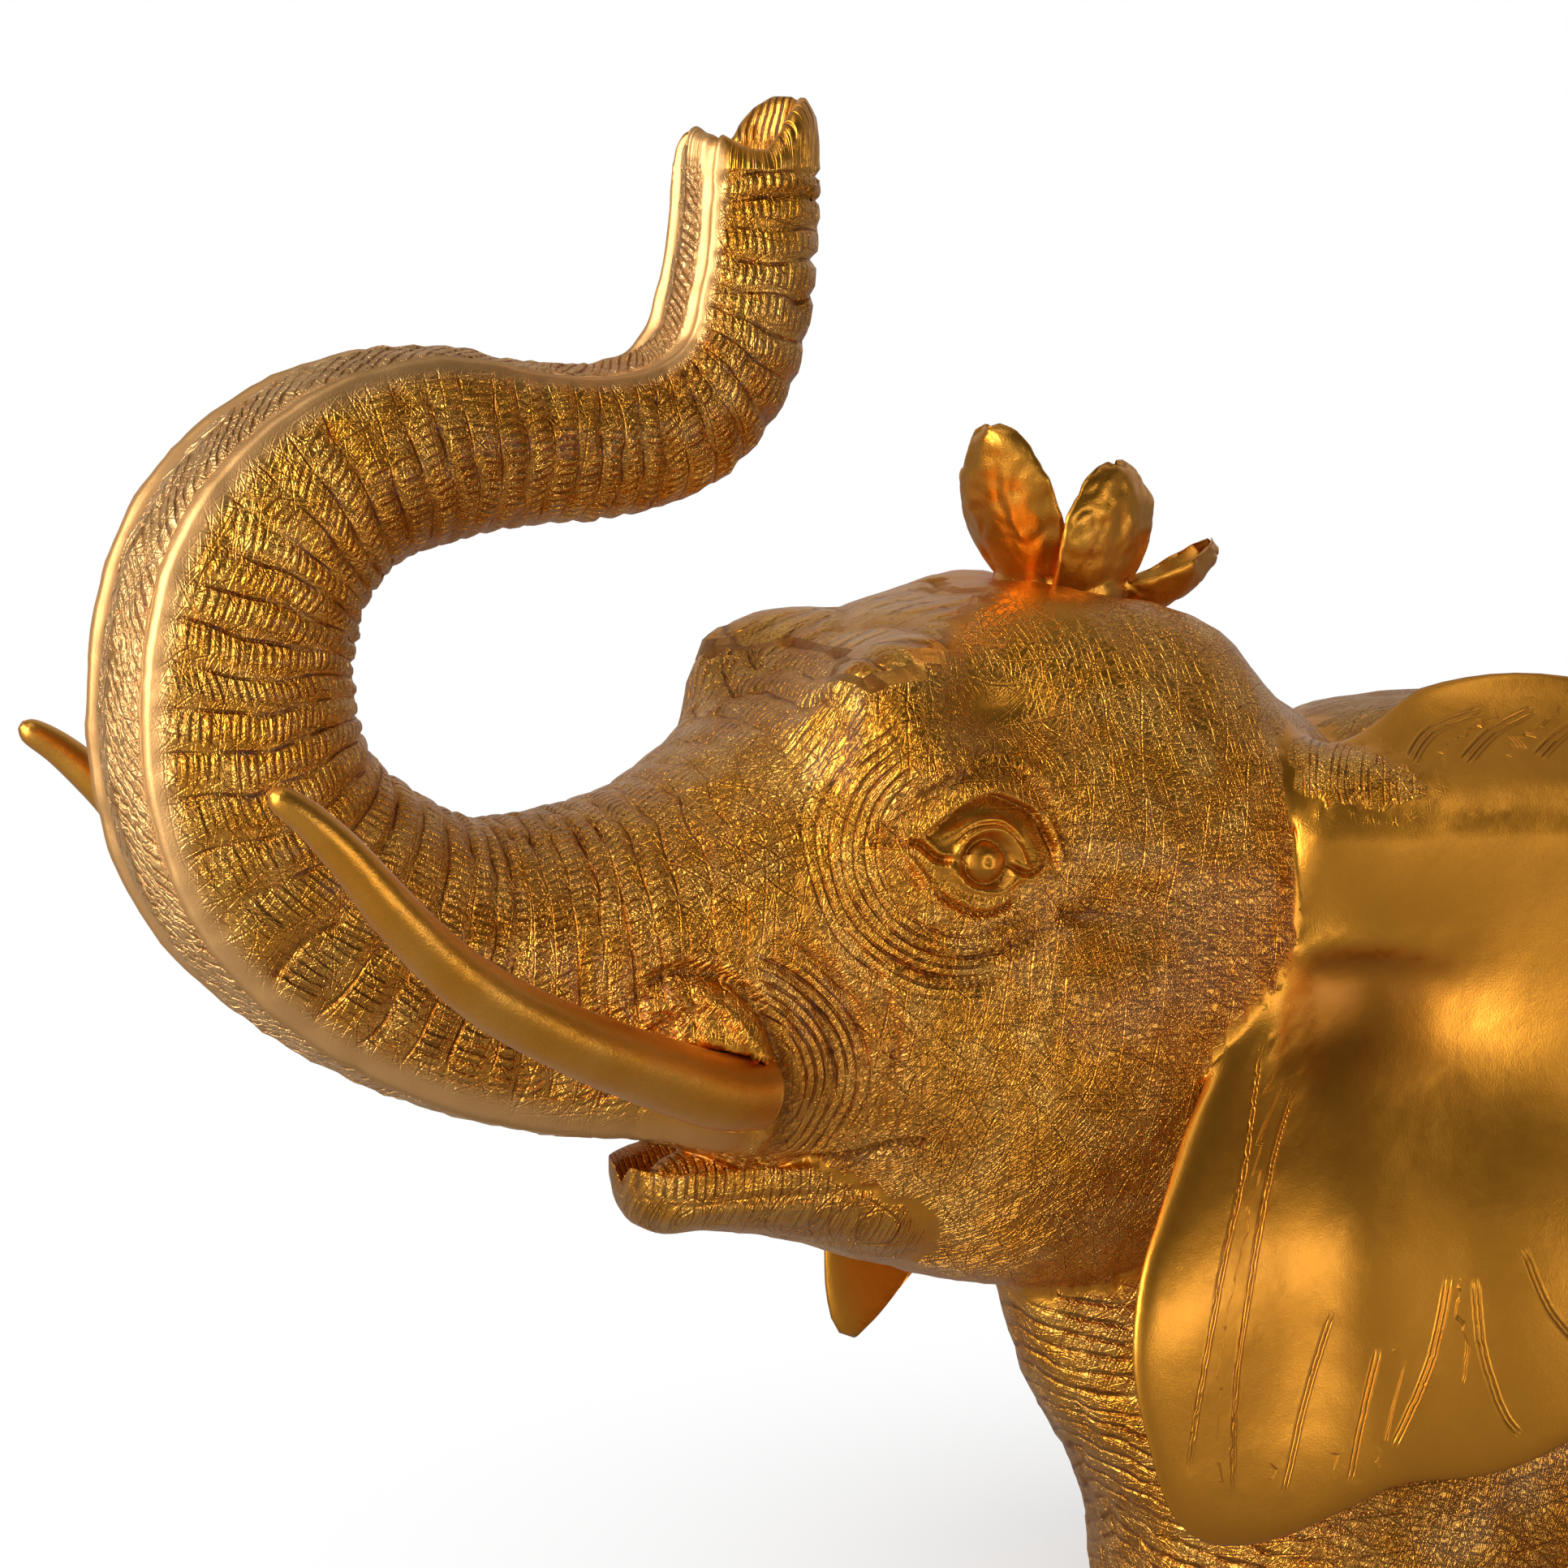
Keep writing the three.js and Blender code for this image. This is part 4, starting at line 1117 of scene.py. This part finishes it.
def petal(foot, tip, width_share, cup):
    """A thick hand-pressed petal, cupped towards the flower's middle, with a crease and a soft rim."""
    foot, tip = np.array(foot, float), np.array(tip, float)
    middle = np.array([FLOWER_SEAT[0], FLOWER_SEAT[1], foot[2]])
    length = tip - foot
    outwards = foot - middle
    outwards /= np.linalg.norm(outwards)
    outwards -= length * (outwards @ length) / (length @ length)
    outwards /= np.linalg.norm(outwards)
    across = np.cross(outwards, length)
    across /= np.linalg.norm(across)
    widest = PETAL_WIDTH / 2 * width_share
    c = np.cos(np.linspace(0, 2 * math.pi, 60, endpoint=False))
    side = np.sin(np.linspace(0, 2 * math.pi, 60, endpoint=False))
    side = np.sign(side) * np.abs(side) ** 0.35
    rings = []
    for s in [*np.linspace(0, 0.9, 34), 0.93, 0.955, 0.975, 0.99, 1.0]:
        width = widest * min(1, (1.28 - s) / 0.62) ** 0.9 * (0.88 + 0.12 * math.sin(math.pi * s))
        blunt = math.sqrt(max(0.02, 1 - max(0, (s - 0.9) / 0.1) ** 2))
        half = PETAL_THICKNESS / 2 * (1.2 - 0.4 * s) * blunt
        back = 2.5 * math.sin(math.pi * s) - cup * c * c * (1 - 0.5 * s) + half * side
        back -= 0.5 * np.exp(-((c / 0.12) ** 2)) * math.sin(math.pi * s)
        spread = width * blunt * c
        rings.append(foot + length * s + spread[:, None] * across + back[:, None] * outwards)
    return shell(rings)


def make_flower(material):
    """Petals standing round a shallow foot that is seated on the crown, with a boss in the middle."""
    base = FLOWER_BASE_DIAMETER / 2
    profile = np.array([[0.5, -8], [base, -8], [base, 0.5], [base * 0.93, 1.8], [base * 0.8, 3], [0.5, 4]])
    turn = np.linspace(0, 2 * math.pi, 90, endpoint=False)
    rows = along(profile, np.linspace(0, len(profile) - 1, 40))
    rows[:, 0] = np.clip(rows[:, 0], 0.2, base)
    foot = [np.stack([r * np.cos(turn), r * np.sin(turn), np.full_like(turn, h)], 1) for r, h in rows]
    latitude = np.linspace(-1.5, 1.5, 24)
    boss = [
        np.stack([
            base * BOSS_SHARE * math.cos(a) * np.cos(turn),
            base * BOSS_SHARE * math.cos(a) * np.sin(turn),
            np.full_like(turn, BOSS_HEIGHT + base * BOSS_SHARE * math.sin(a)),
        ], 1)
        for a in latitude
    ]
    lean = math.radians(FLOWER_LEAN)
    tilt = np.array([[math.cos(lean), 0, math.sin(lean)], [0, 1, 0], [-math.sin(lean), 0, math.cos(lean)]])
    middle = []
    for rings in (foot, boss):
        points, triangles = shell(rings)
        middle.append((points @ tilt.T + FLOWER_SEAT, triangles))
    leaves = [petal(*place) for place in PETALS]
    points, triangles = joined([*middle, *leaves])
    points, triangles = refined(points, triangles, lambda middles: np.full(len(middles), FLOWER_EDGE))
    points = smoothed(points, triangles, 2)
    wrinkles = 0.35 * noise(points, 7, 41) + 0.28 * noise(points, 2.6, 42) - 0.2
    creases = -0.35 * furrow(noise(points, 8, 43) * 1.5, 6)
    points = points + normals_of(points, triangles) * (wrinkles + creases)[:, None]
    made = object_of("flower_bloom", (kept_in_box(points), triangles))
    made.data.materials.append(material)
    return finished(made, "satin_gold", "flower")


class Sum:
    """A socket of a shader tree that takes part in sums: each operator adds its Math node."""

    def __init__(self, tree, socket):
        self.tree = tree
        self.socket = socket

    def combine(self, operation, *others, flip=False):
        node = self.tree.nodes.new("ShaderNodeMath")
        node.operation = operation
        terms = [self, *others]
        if flip:
            terms.reverse()
        for slot, term in zip(node.inputs, terms):
            if isinstance(term, Sum):
                self.tree.links.new(term.socket, slot)
            else:
                slot.default_value = term
        return Sum(self.tree, node.outputs[0])

    def __add__(self, other):
        return self.combine("ADD", other)

    __radd__ = __add__

    def __sub__(self, other):
        return self.combine("SUBTRACT", other)

    def __rsub__(self, other):
        return self.combine("SUBTRACT", other, flip=True)

    def __mul__(self, other):
        return self.combine("MULTIPLY", other)

    __rmul__ = __mul__

    def least(self, other):
        return self.combine("MINIMUM", other)

    def size(self):
        return self.combine("ABSOLUTE")

    def whole(self):
        return self.combine("FLOOR")

    def part(self):
        return self.combine("FRACT")

    def ripple(self):
        """0 on whole numbers, rising to 1 halfway between them."""
        return self.combine("PINGPONG", 0.5) * 2

    def most(self, other):
        return self.combine("MAXIMUM", other)


class Finish:
    """A material under construction: nodes by type, with their settings and socket values."""

    def __init__(self, name):
        self.material = bpy.data.materials.new(name)
        self.material.use_nodes = True
        self.tree = self.material.node_tree
        self.tree.nodes.clear()

    def node(self, kind, settings=None, output=0, **sockets):
        made = self.tree.nodes.new(kind)
        for name, value in (settings or {}).items():
            setattr(made, name, value)
        for name, value in sockets.items():
            wanted = name.replace("_", " ")
            socket = next(s for s in made.inputs if s.name == wanted and s.enabled)
            if isinstance(value, Sum):
                self.tree.links.new(value.socket, socket)
            else:
                socket.default_value = value
        return Sum(self.tree, made.outputs[output])

    def attribute(self, name, output="Fac"):
        return self.node("ShaderNodeAttribute", {"attribute_name": name}, output)

    def place(self):
        return self.node("ShaderNodeTexCoord", output="Object")

    def lumps(self, vector, scale, detail=2.0, roughness=0.5):
        return self.node(
            "ShaderNodeTexNoise", Vector=vector, Scale=scale, Detail=detail, Roughness=roughness
        )

    def parts(self, vector):
        """The three numbers of a vector."""
        node = self.node("ShaderNodeSeparateXYZ", Vector=vector).socket.node
        return [Sum(self.tree, output) for output in node.outputs]

    def vector(self, operation, *terms):
        node = self.tree.nodes.new("ShaderNodeVectorMath")
        node.operation = operation
        for slot, term in zip(node.inputs, terms):
            if isinstance(term, Sum):
                self.tree.links.new(term.socket, slot)
            else:
                slot.default_value = term
        return Sum(self.tree, node.outputs[0])

    def chance(self, x, y=0.0):
        """Three even chances from 0 to 1 that belong to a pair of whole numbers."""
        pair = self.node("ShaderNodeCombineXYZ", X=x, Y=y)
        drawn = self.node("ShaderNodeTexWhiteNoise", {"noise_dimensions": "2D"}, 1, Vector=pair)
        return self.parts(drawn)

    def range(self, value, low, high, to_low=0.0, to_high=1.0):
        return self.node(
            "ShaderNodeMapRange",
            {"interpolation_type": "SMOOTHSTEP"},
            Value=value,
            From_Min=low,
            From_Max=high,
            To_Min=to_low,
            To_Max=to_high,
        )

    def mix(self, share, first, second):
        made = self.tree.nodes.new("ShaderNodeMix")
        made.data_type = "RGBA"
        for slot, value in ((0, share), (6, first), (7, second)):
            if isinstance(value, Sum):
                self.tree.links.new(value.socket, made.inputs[slot])
            else:
                made.inputs[slot].default_value = value
        return Sum(self.tree, made.outputs[2])

    def surface(self, **sockets):
        shader = self.node("ShaderNodeBsdfPrincipled", **sockets)
        out = self.tree.nodes.new("ShaderNodeOutputMaterial")
        self.tree.links.new(shader.socket, out.inputs["Surface"])
        return self.material


# Gold paint: bright where it is rubbed, deep between; a brown painted shade in the hollows, also used for
# specks of the satin paint's grain; a pale gold painted reflection on the trunk's ventral face.
BRIGHT_GOLD = (0.92, 0.46, 0.085, 1)
DEEP_GOLD = (0.78, 0.31, 0.022, 1)
PAINTED_SHEEN_GOLD = (0.86, 0.56, 0.27, 1)
SHADE_AND_GRAIN_BROWN = (0.26, 0.075, 0.006, 1)
DUSKY_GOLD = (0.52, 0.22, 0.040, 1)

# Needle marks, each pushed a little aside where it crosses an earlier one: direction in degrees, then
# length, spacing and half width in metres, share of the places that are marked, and depth.
NEEDLE_MARKS = [
    [12, 0.021, 0.0042, 0.00030, 0.55, 0.30],
    [58, 0.017, 0.0038, 0.00028, 0.60, 0.28],
    [97, 0.024, 0.0045, 0.00032, 0.55, 0.32],
    [139, 0.015, 0.0040, 0.00028, 0.60, 0.28],
    [-17, 0.0065, 0.0017, 0.00020, 0.75, 0.20],
    [33, 0.0055, 0.0015, 0.00018, 0.75, 0.18],
    [79, 0.0062, 0.0016, 0.00020, 0.75, 0.20],
    [118, 0.0050, 0.0014, 0.00018, 0.75, 0.18],
    [161, 0.0058, 0.0015, 0.00018, 0.70, 0.18],
]
MARK_PUSH = 0.0001

# Spacing in metres of the coarse and the fine strokes between the trunk's rings.
RING_STROKE = 0.0021
FINE_RING_STROKE = 0.0011

COAT = {"Coat_Weight": 0.2, "Coat_Roughness": 0.3}


def trench(finish, distance, width):
    """Section of a needle mark: -1 in its middle, a low burr along its edge, 0 beyond."""
    inner = finish.range(distance, 0.0, width, -1.0, 0.4)
    return inner.least(finish.range(distance, width, 2.4 * width, 0.4, 0.0))


def needle_marks(finish, hide, seed, degrees, length, spacing, width, share, depth):
    """Straight needle marks of one direction laid over the hide, each at its own slight slant."""
    place = finish.node(
        "ShaderNodeMapping",
        {"vector_type": "TEXTURE"},
        Vector=hide,
        Rotation=(0, 0, math.radians(degrees)),
        Scale=(length, spacing, 1),
    )
    lengthwise, across, _ = finish.parts(place)
    row = across.whole()
    shift, _, _ = finish.chance(row, seed)
    lengthwise = lengthwise + shift
    offset, slant, drawn = finish.chance(lengthwise.whole() + seed * 37, row)
    centred = lengthwise.part() - 0.5
    line = across.part() - 0.25 - offset * 0.5 - (slant - 0.5) * centred * 0.6
    ends = finish.range(centred.size(), 0.34, 0.5, 1.0, 0.0)
    present = finish.range(drawn, share, share + 0.02, 1.0, 0.0)
    return trench(finish, line.size() * spacing, width) * ends * present * depth


def ring_strokes(finish, ring_place, girth, spacing, seed):
    """Short strokes along the trunk between its rings, each with its own strength and slant."""
    ring = ring_place.whole()
    part = ring_place.part()
    shift, slant, _ = finish.chance(ring, seed)
    place = girth * (1 / spacing) + shift * 7 + (slant - 0.5) * part * 2.4
    strength, start, _ = finish.chance(ring, place.whole() + seed * 11)
    ridge = finish.range(place.ripple(), 0.05, 0.75, -1.0, 0.5)
    zone = finish.range(part - start * 0.2, 0.12, 0.26) * finish.range(part, 0.86, 0.98, 1.0, 0.0)
    return ridge * zone * (0.25 + 0.75 * strength)


def skin_finish():
    """Metallic gold on carved hide: rings and strokes, fine wrinkles, needle marks, hollows darkened with
    painted shade, and a painted reflection paling the trunk's ventral face.
    """
    finish = Finish("gilded_hide")
    place = finish.place()
    plain = finish.attribute("plain")
    ringed = finish.attribute("ringed")
    wrinkled = finish.attribute("wrinkled")
    hollow = finish.attribute("hollow")
    ring_place = finish.attribute("ring_place")
    wrinkle_place = finish.attribute("wrinkle_place")
    hide = finish.attribute("skin_place", "Vector")
    _, girth, _ = finish.parts(hide)
    rough = 1 - plain
    marks = needle_marks(finish, hide, 0, *NEEDLE_MARKS[0])
    for seed, values in enumerate(NEEDLE_MARKS[1:], 1):
        pushed = finish.vector("ADD", hide, marks * MARK_PUSH)
        marks = marks + needle_marks(finish, pushed, seed, *values)
    broken = finish.range(finish.lumps(hide, 75, 1.0), 0.42, 0.56, 0.15, 1.0)
    groove = finish.range(ring_place.ripple(), 0.0, 0.13, -1.0, 0.0) * broken
    girth = girth + marks * MARK_PUSH
    strokes = ring_strokes(finish, ring_place, girth, RING_STROKE, 3) * 0.52
    girth = girth + strokes * MARK_PUSH
    strokes = strokes + ring_strokes(finish, ring_place, girth, FINE_RING_STROKE, 5) * 0.15
    wrinkles = finish.range(wrinkle_place.ripple(), 0.0, 0.5, -1.0, 0.25)
    vein_edge = (finish.attribute("vein_gap").size() - 0.0005).size()
    veins = finish.attribute("veined") * trench(finish, vein_edge, 0.0003)
    crumbs = finish.lumps(place, 900, 2.0, 0.6)
    dents = finish.lumps(place, 380, 2.0)
    grain = finish.lumps(place, 2600, 1.0)
    carving = (
        ringed * (strokes + groove * 0.6)
        + wrinkled * wrinkles * (0.2 + 0.4 * broken)
        + veins * 0.3
        + rough * (1 - 0.55 * ringed) * (1 - 0.6 * wrinkled) * marks
    )
    height = carving + rough * (crumbs * 0.32 + dents * 0.25) + dents * 0.05 + grain * 0.035
    bump = finish.node("ShaderNodeBump", Strength=1.0, Distance=0.001, Height=height)
    tone = finish.range(finish.lumps(place, 90, 1.0), 0.35, 0.7)
    cloud = finish.range(finish.lumps(place, 26, 2.0), 0.42, 0.66)
    metal = finish.mix(tone * rough * 0.8 + 0.1, DEEP_GOLD, BRIGHT_GOLD)
    worn_and_sheen = finish.mix(cloud * rough * 0.35, metal, DUSKY_GOLD)
    # Painted reflection: the trunk's flat ventral face is paled towards a pale gold that stands for a white
    # reflection at grazing angles.
    faced = finish.attribute("faced")
    worn_and_sheen = finish.mix(faced * 0.6, worn_and_sheen, PAINTED_SHEEN_GOLD)
    # Painted shade: grooves of the carving and sunk places of the skin are darkened towards brown and made
    # rougher.
    sunk = (carving * -1.3).most(hollow * 0.6).most(0.0).least(1.0)
    colour = finish.mix(sunk, worn_and_sheen, SHADE_AND_GRAIN_BROWN)
    roughness = 0.24 + 0.1 * plain + 0.06 * dents + 0.12 * sunk + 0.14 * faced
    return finish.surface(
        Base_Color=colour,
        Metallic=1.0,
        Roughness=roughness,
        Normal=bump,
        **COAT,
    )


def satin_finish():
    """Satin gold paint with a fine sprayed grain, a few dimples and soft clouds of tone."""
    finish = Finish("satin_gold_paint")
    place = finish.place()
    grain = finish.lumps(place, 2200, 2.0, 0.65)
    dents = finish.lumps(place, 300, 2.0)
    bump = finish.node("ShaderNodeBump", Strength=0.6, Distance=0.00025, Height=grain * 0.5 + dents)
    cloud = finish.range(finish.lumps(place, 60, 2.0), 0.38, 0.68)
    colour = finish.mix(0.1 + 0.35 * cloud, DEEP_GOLD, BRIGHT_GOLD)
    colour = finish.mix(0.2 * finish.range(grain, 0.45, 0.75), colour, SHADE_AND_GRAIN_BROWN)
    roughness = 0.30 + 0.10 * dents
    return finish.surface(
        Base_Color=colour,
        Metallic=1.0,
        Roughness=roughness,
        Normal=bump,
        **COAT,
    )


def floor_finish(seen_colour, lit_colour, white_from, white_to):
    """A pale matt floor that runs into the white surround with its distance from the middle."""
    finish = Finish("pale_floor")
    distance = finish.node("ShaderNodeVectorMath", {"operation": "LENGTH"}, "Value", Vector=finish.place())
    far = finish.range(distance, white_from, white_to)
    seen = finish.node("ShaderNodeLightPath", output="Is Camera Ray")
    tone = finish.mix(finish.lumps(finish.place(), 4, 2.0) * 0.04, seen_colour, (0.8, 0.79, 0.78, 1))
    tone = finish.mix(seen, lit_colour, tone)
    matt = finish.node("ShaderNodeBsdfPrincipled", Base_Color=tone, Roughness=0.7)
    white = finish.node("ShaderNodeEmission", Color=WHITE, Strength=1.0)
    both = finish.tree.nodes.new("ShaderNodeMixShader")
    for slot, value in zip(both.inputs, (far * (0.12 + 0.88 * seen), matt, white)):
        finish.tree.links.new(value.socket, slot)
    out = finish.tree.nodes.new("ShaderNodeOutputMaterial")
    finish.tree.links.new(both.outputs[0], out.inputs["Surface"])
    return finish.material


# The view: the camera stands a little behind the left side's square-on view and a little high.
VIEW_AZIMUTH = -26.0
VIEW_ELEVATION = 7.7
VIEW_TARGET = (-0.177, 0.0, 0.1983)
VIEW_DISTANCE = 1.5
VIEW_WIDTH = 1932 * 0.00018
BACKDROP_AZIMUTH = 154.0

# Soft boxes: azimuth and elevation in degrees, distance, width and height in metres, and watts.
SOFT_BOXES = {
    "key": (-80, 16, 1.3, 0.9, 1.0, 19),
    "fill": (24, -9, 1.6, 1.2, 0.6, 11),
    "front": (-34, -4, 1.8, 0.5, 0.4, 1.2),
    "top": (-60, 66, 1.4, 0.4, 0.6, 1.5),
}
LIGHT_AIM = (-0.12, 0, 0.17)
DIM_ROOM = (0.075, 0.07, 0.065, 1)
BRIGHT_ROOM = (0.5, 0.5, 0.5, 1)
WHITE = (1, 1, 1, 1)

# The floor: how far it reaches, how low it lies, its tones as seen and as a light source, and the
# distances between which it runs into the white surround.
FLOOR_SPREAD = 6.0
FLOOR_DROP = 0.0005
FLOOR_SEEN = (0.92, 0.92, 0.91, 1)
FLOOR_LIT = (0.3, 0.3, 0.3, 1)
FLOOR_WHITENING = (-0.15, 0.3)


def away(azimuth, elevation):
    """Unit vector from the object towards a place at this azimuth and elevation."""
    a, e = math.radians(azimuth), math.radians(elevation)
    return Vector((math.sin(a) * math.cos(e), -math.cos(a) * math.cos(e), math.sin(e)))


def make_camera():
    data = bpy.data.cameras.new("view")
    camera = bpy.data.objects.new("view", data)
    bpy.context.scene.collection.objects.link(camera)
    back = away(VIEW_AZIMUTH, VIEW_ELEVATION)
    camera.location = Vector(VIEW_TARGET) + back * VIEW_DISTANCE
    camera.rotation_euler = (-back).to_track_quat("-Z", "Y").to_euler()
    data.sensor_width = 36
    data.lens = data.sensor_width * VIEW_DISTANCE / VIEW_WIDTH
    data.clip_start = 0.05
    data.clip_end = 40
    bpy.context.scene.camera = camera


def softbox(name, azimuth, elevation, distance, width, height, watts):
    """A rectangular soft light that looks at the middle of the bust."""
    data = bpy.data.lights.new(name, "AREA")
    data.shape = "RECTANGLE"
    data.size, data.size_y = width, height
    data.energy = watts
    light = bpy.data.objects.new(name, data)
    direction = away(azimuth, elevation)
    light.location = Vector(LIGHT_AIM) + direction * distance
    light.rotation_euler = (-direction).to_track_quat("-Z", "Y").to_euler()
    bpy.context.scene.collection.objects.link(light)


def make_studio():
    """Pale floor, pale surround and soft boxes at the sides, above and behind."""
    mesh = bpy.data.meshes.new("floor")
    corners = [(-1, -1), (1, -1), (1, 1), (-1, 1)]
    places = [(FLOOR_SPREAD * x, FLOOR_SPREAD * y, -FLOOR_DROP) for x, y in corners]
    mesh.from_pydata(places, [], [(0, 1, 2, 3)])
    floor = bpy.data.objects.new("floor", mesh)
    floor.data.materials.append(floor_finish(FLOOR_SEEN, FLOOR_LIT, *FLOOR_WHITENING))
    bpy.context.scene.collection.objects.link(floor)
    world = bpy.data.worlds.new("surround")
    world.use_nodes = True
    tree = world.node_tree
    background = tree.nodes["Background"]
    path = tree.nodes.new("ShaderNodeLightPath")
    place = tree.nodes.new("ShaderNodeTexCoord")
    facing = tree.nodes.new("ShaderNodeVectorMath")
    facing.operation = "DOT_PRODUCT"
    facing.inputs[1].default_value = away(BACKDROP_AZIMUTH, 10)
    tree.links.new(place.outputs["Generated"], facing.inputs[0])
    spread = tree.nodes.new("ShaderNodeMapRange")
    spread.interpolation_type = "SMOOTHSTEP"
    spread.inputs["From Min"].default_value = 0.0
    spread.inputs["From Max"].default_value = 0.8
    tree.links.new(facing.outputs["Value"], spread.inputs["Value"])
    room = tree.nodes.new("ShaderNodeMix")
    room.data_type = "RGBA"
    room.inputs[6].default_value = DIM_ROOM
    room.inputs[7].default_value = BRIGHT_ROOM
    tree.links.new(spread.outputs["Result"], room.inputs[0])
    tint = tree.nodes.new("ShaderNodeMix")
    tint.data_type = "RGBA"
    tint.inputs[7].default_value = WHITE
    tree.links.new(path.outputs["Is Camera Ray"], tint.inputs[0])
    tree.links.new(room.outputs[2], tint.inputs[6])
    tree.links.new(tint.outputs[2], background.inputs["Color"])
    bpy.context.scene.world = world
    bpy.context.scene.view_settings.view_transform = "Standard"
    for name, values in SOFT_BOXES.items():
        softbox(name, *values)


make_camera()
hide = skin_finish()
satin = satin_finish()
make_bust(hide)
make_tusk("left_tusk", "tusk_left", -1, [0, 0, 0], satin)
make_tusk("right_tusk", "tusk_right", 1, RIGHT_TUSK_OFFSET, satin)
make_flower(satin)
make_studio()
